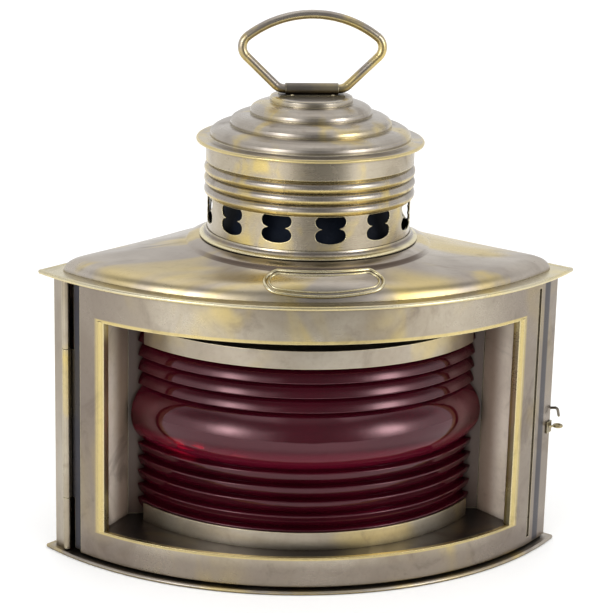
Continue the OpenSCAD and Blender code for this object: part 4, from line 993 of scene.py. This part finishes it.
class LAMP_OT_studio(PieceOperator, bpy.types.Operator):
    """Sets the pale floor, the room's light, the soft lamps and the camera"""

    bl_idname = "lamp.studio"
    bl_label = "Studio"

    def build(self, scene):
        self.floor(scene)
        self.room(scene)
        self.lamps(scene)
        self.camera(scene)
        scene.view_settings.view_transform = "Standard"

    def floor(self, scene):
        mesh = bpy.data.meshes.new("floor")
        verts = [(-1.2, -0.55, 0), (1.2, -0.55, 0), (1.2, 3, 0), (-1.2, 3, 0)]
        mesh.from_pydata(verts, [], [(0, 1, 2, 3)])
        obj = bpy.data.objects.new("floor", mesh)
        scene.collection.objects.link(obj)
        material, n, shader, place, out = new_material("Pale floor")
        tone = n.remap(n.noise(place, 3.0), 0.3, 0.7)
        n.put(shader.inputs["Base Color"], n.mix(tone, (0.93, 0.93, 0.93), (0.96, 0.96, 0.96)))
        shader.inputs["Roughness"].default_value = 0.9
        glow = n.add("ShaderNodeEmission", {
            "Color": (1, 1, 1, 1), "Strength": n.math(
                "MULTIPLY", self.seen(n), scene.lamp_studio.floor_glow)})
        both = n.add("ShaderNodeAddShader", {0: shader.outputs[0], 1: glow.outputs[0]})
        n.put(out.inputs["Surface"], both.outputs[0])
        mesh.materials.append(material)

    def seen(self, n):
        """1 for rays of the camera, of metal and of glass, 0 for the light on dull surfaces."""
        path = n.add("ShaderNodeLightPath").outputs
        shiny = n.math("MAXIMUM", path["Is Glossy Ray"], path["Is Transmission Ray"])
        return n.math("MAXIMUM", shiny, path["Is Camera Ray"])

    def room(self, scene):
        """White all round, but for a dark side of the room behind the camera."""
        studio = scene.lamp_studio
        world = bpy.data.worlds.new("Pale room")
        scene.world = world
        world.use_nodes = True
        world.node_tree.nodes.clear()
        n = Nodes(world.node_tree)
        way = n.add("ShaderNodeSeparateXYZ", {
            0: n.add("ShaderNodeTexCoord").outputs["Generated"]}).outputs
        ahead = n.math("MULTIPLY", way["Y"], -1.0)
        azimuth = n.math("ARCTAN2", way["X"], ahead)
        aside = n.math("ABSOLUTE", n.math("SUBTRACT", azimuth, math.radians(8)))
        wedge = n.remap(aside, math.radians(18), math.radians(38), 1.0, 0.0)
        wedge = n.math("MULTIPLY", wedge, n.remap(way["Z"], -0.80, -0.60))
        above = n.math("MULTIPLY", n.remap(way["Z"], 0.22, 0.50), n.remap(ahead, -0.25, 0.25))
        above = n.math("MULTIPLY", above, n.remap(way["Z"], 0.72, 0.90, 1.0, 0.0))
        dark = n.math("MAXIMUM", n.math("MULTIPLY", wedge, 1.0 - studio.shade),
                      n.math("MULTIPLY", above, 1.0 - studio.ceiling))
        height = n.math("ARCSINE", way["Z"])
        bright = self.wall(n, azimuth, height, -46, 13, studio)
        bright = n.math("ADD", bright, self.wall(n, azimuth, height, 50, 14, studio))
        bright = n.math("MULTIPLY_ADD", n.remap(way["Z"], 0.65, 0.95), studio.overhead, bright)
        path = n.add("ShaderNodeLightPath").outputs
        plain = n.math("MAXIMUM", path["Is Camera Ray"], path["Is Diffuse Ray"])
        level = n.math("SUBTRACT", 1.0, n.math(
            "MULTIPLY", dark, n.math("SUBTRACT", 1.0, plain)))
        unseen = n.math("SUBTRACT", 1.0, path["Is Camera Ray"])
        level = n.math("MULTIPLY_ADD", bright, unseen, level)
        fill = n.remap(self.seen(n), 0.0, 1.0, studio.fill, 1.0, False)
        room = n.add("ShaderNodeBackground", {
            "Color": (1, 1, 1, 1), "Strength": n.math("MULTIPLY", level, fill)})
        n.add("ShaderNodeOutputWorld", {"Surface": room.outputs[0]})

    def wall(self, n, azimuth, height, to_side, up, studio):
        """A bright patch of the room: wide and soft, with a tall and brighter middle."""
        def patch(width, tall):
            aside = n.math("MULTIPLY_ADD", azimuth, 1 / width, -math.radians(to_side) / width)
            above = n.math("MULTIPLY_ADD", height, 1 / tall, -math.radians(up) / tall)
            far = n.math("MULTIPLY_ADD", aside, aside, n.math("MULTIPLY", above, above))
            return n.math("EXPONENT", n.math("MULTIPLY", far, -1.0))
        return n.math("MULTIPLY_ADD", patch(0.44, 0.42), studio.glow,
                      n.math("MULTIPLY", patch(0.17, 0.22), studio.core))

    def lamps(self, scene):
        bright = scene.lamp_studio.softbox
        aim, away = Vector((0, 0, 0.13)), 1.3
        for name, azimuth, height, size, share_of in (
                ("Left softbox", -54, 43, (0.55, 0.55), 1.0),
                ("Right softbox", 60, 47, (0.45, 0.45), 1.0)):
            a, e = math.radians(azimuth), math.radians(height)
            way = Vector((math.sin(a) * math.cos(e), -math.cos(a) * math.cos(e), math.sin(e)))
            light = bpy.data.lights.new(name, "AREA")
            light.shape = "RECTANGLE"
            light.size, light.size_y = size
            light.energy = bright * share_of * math.pi * size[0] * size[1]
            obj = bpy.data.objects.new(name, light)
            obj.location = aim + away * way
            obj.rotation_euler = way.to_track_quat("Z", "Y").to_euler()
            obj.visible_glossy = False
            scene.collection.objects.link(obj)

    def camera(self, scene):
        s = scene.lamp_studio
        data = bpy.data.cameras.new("Camera")
        data.sensor_width = 36.0
        data.lens = s.lens_mm
        data.clip_start, data.clip_end = 0.05, 20.0
        obj = bpy.data.objects.new("Camera", data)
        forward = Vector((math.sin(s.yaw) * math.cos(s.pitch),
                          math.cos(s.yaw) * math.cos(s.pitch), -math.sin(s.pitch)))
        level = Vector((math.cos(s.yaw), -math.sin(s.yaw), 0))
        up = level.cross(forward)
        right = level * math.cos(s.roll) + up * math.sin(s.roll)
        up = up * math.cos(s.roll) - level * math.sin(s.roll)
        turn = Matrix((right, up, -forward)).transposed().to_4x4()
        obj.matrix_world = Matrix.Translation(Vector(s.camera_at)) @ turn
        scene.collection.objects.link(obj)
        scene.camera = obj


OPERATORS = (LAMP_OT_case, LAMP_OT_base, LAMP_OT_roof, LAMP_OT_chimney, LAMP_OT_cap,
             LAMP_OT_bail, LAMP_OT_door, LAMP_OT_glass, LAMP_OT_hinge, LAMP_OT_latch,
             LAMP_OT_burner, LAMP_OT_studio)


class LAMP_PT_panel(bpy.types.Panel):
    """Lists the lamp's pieces and finishes."""

    bl_idname = "LAMP_PT_panel"
    bl_label = "Navigation lamp"
    bl_space_type = "VIEW_3D"
    bl_region_type = "UI"
    bl_category = "Lamp"

    def draw(self, context):
        for group in ("lamp_sizes", "lamp_finish", "lamp_studio"):
            box = self.layout.box()
            holder = getattr(context.scene, group)
            for key in holder.__annotations__:
                box.prop(holder, key)
        for operator in OPERATORS:
            self.layout.operator(operator.bl_idname)


GROUPS = {"lamp_sizes": LampSizes, "lamp_finish": LampFinish, "lamp_studio": LampStudio}


def register():
    for cls in (*GROUPS.values(), *OPERATORS, LAMP_PT_panel):
        bpy.utils.register_class(cls)
    for name, group in GROUPS.items():
        setattr(bpy.types.Scene, name, bpy.props.PointerProperty(type=group))


def unregister():
    for name in GROUPS:
        delattr(bpy.types.Scene, name)
    for cls in (LAMP_PT_panel, *reversed(OPERATORS), *reversed(list(GROUPS.values()))):
        bpy.utils.unregister_class(cls)


def main():
    register()
    for operator in OPERATORS:
        group, name = operator.bl_idname.split(".")
        getattr(getattr(bpy.ops, group), name)()


if __name__ == "__main__":
    main()
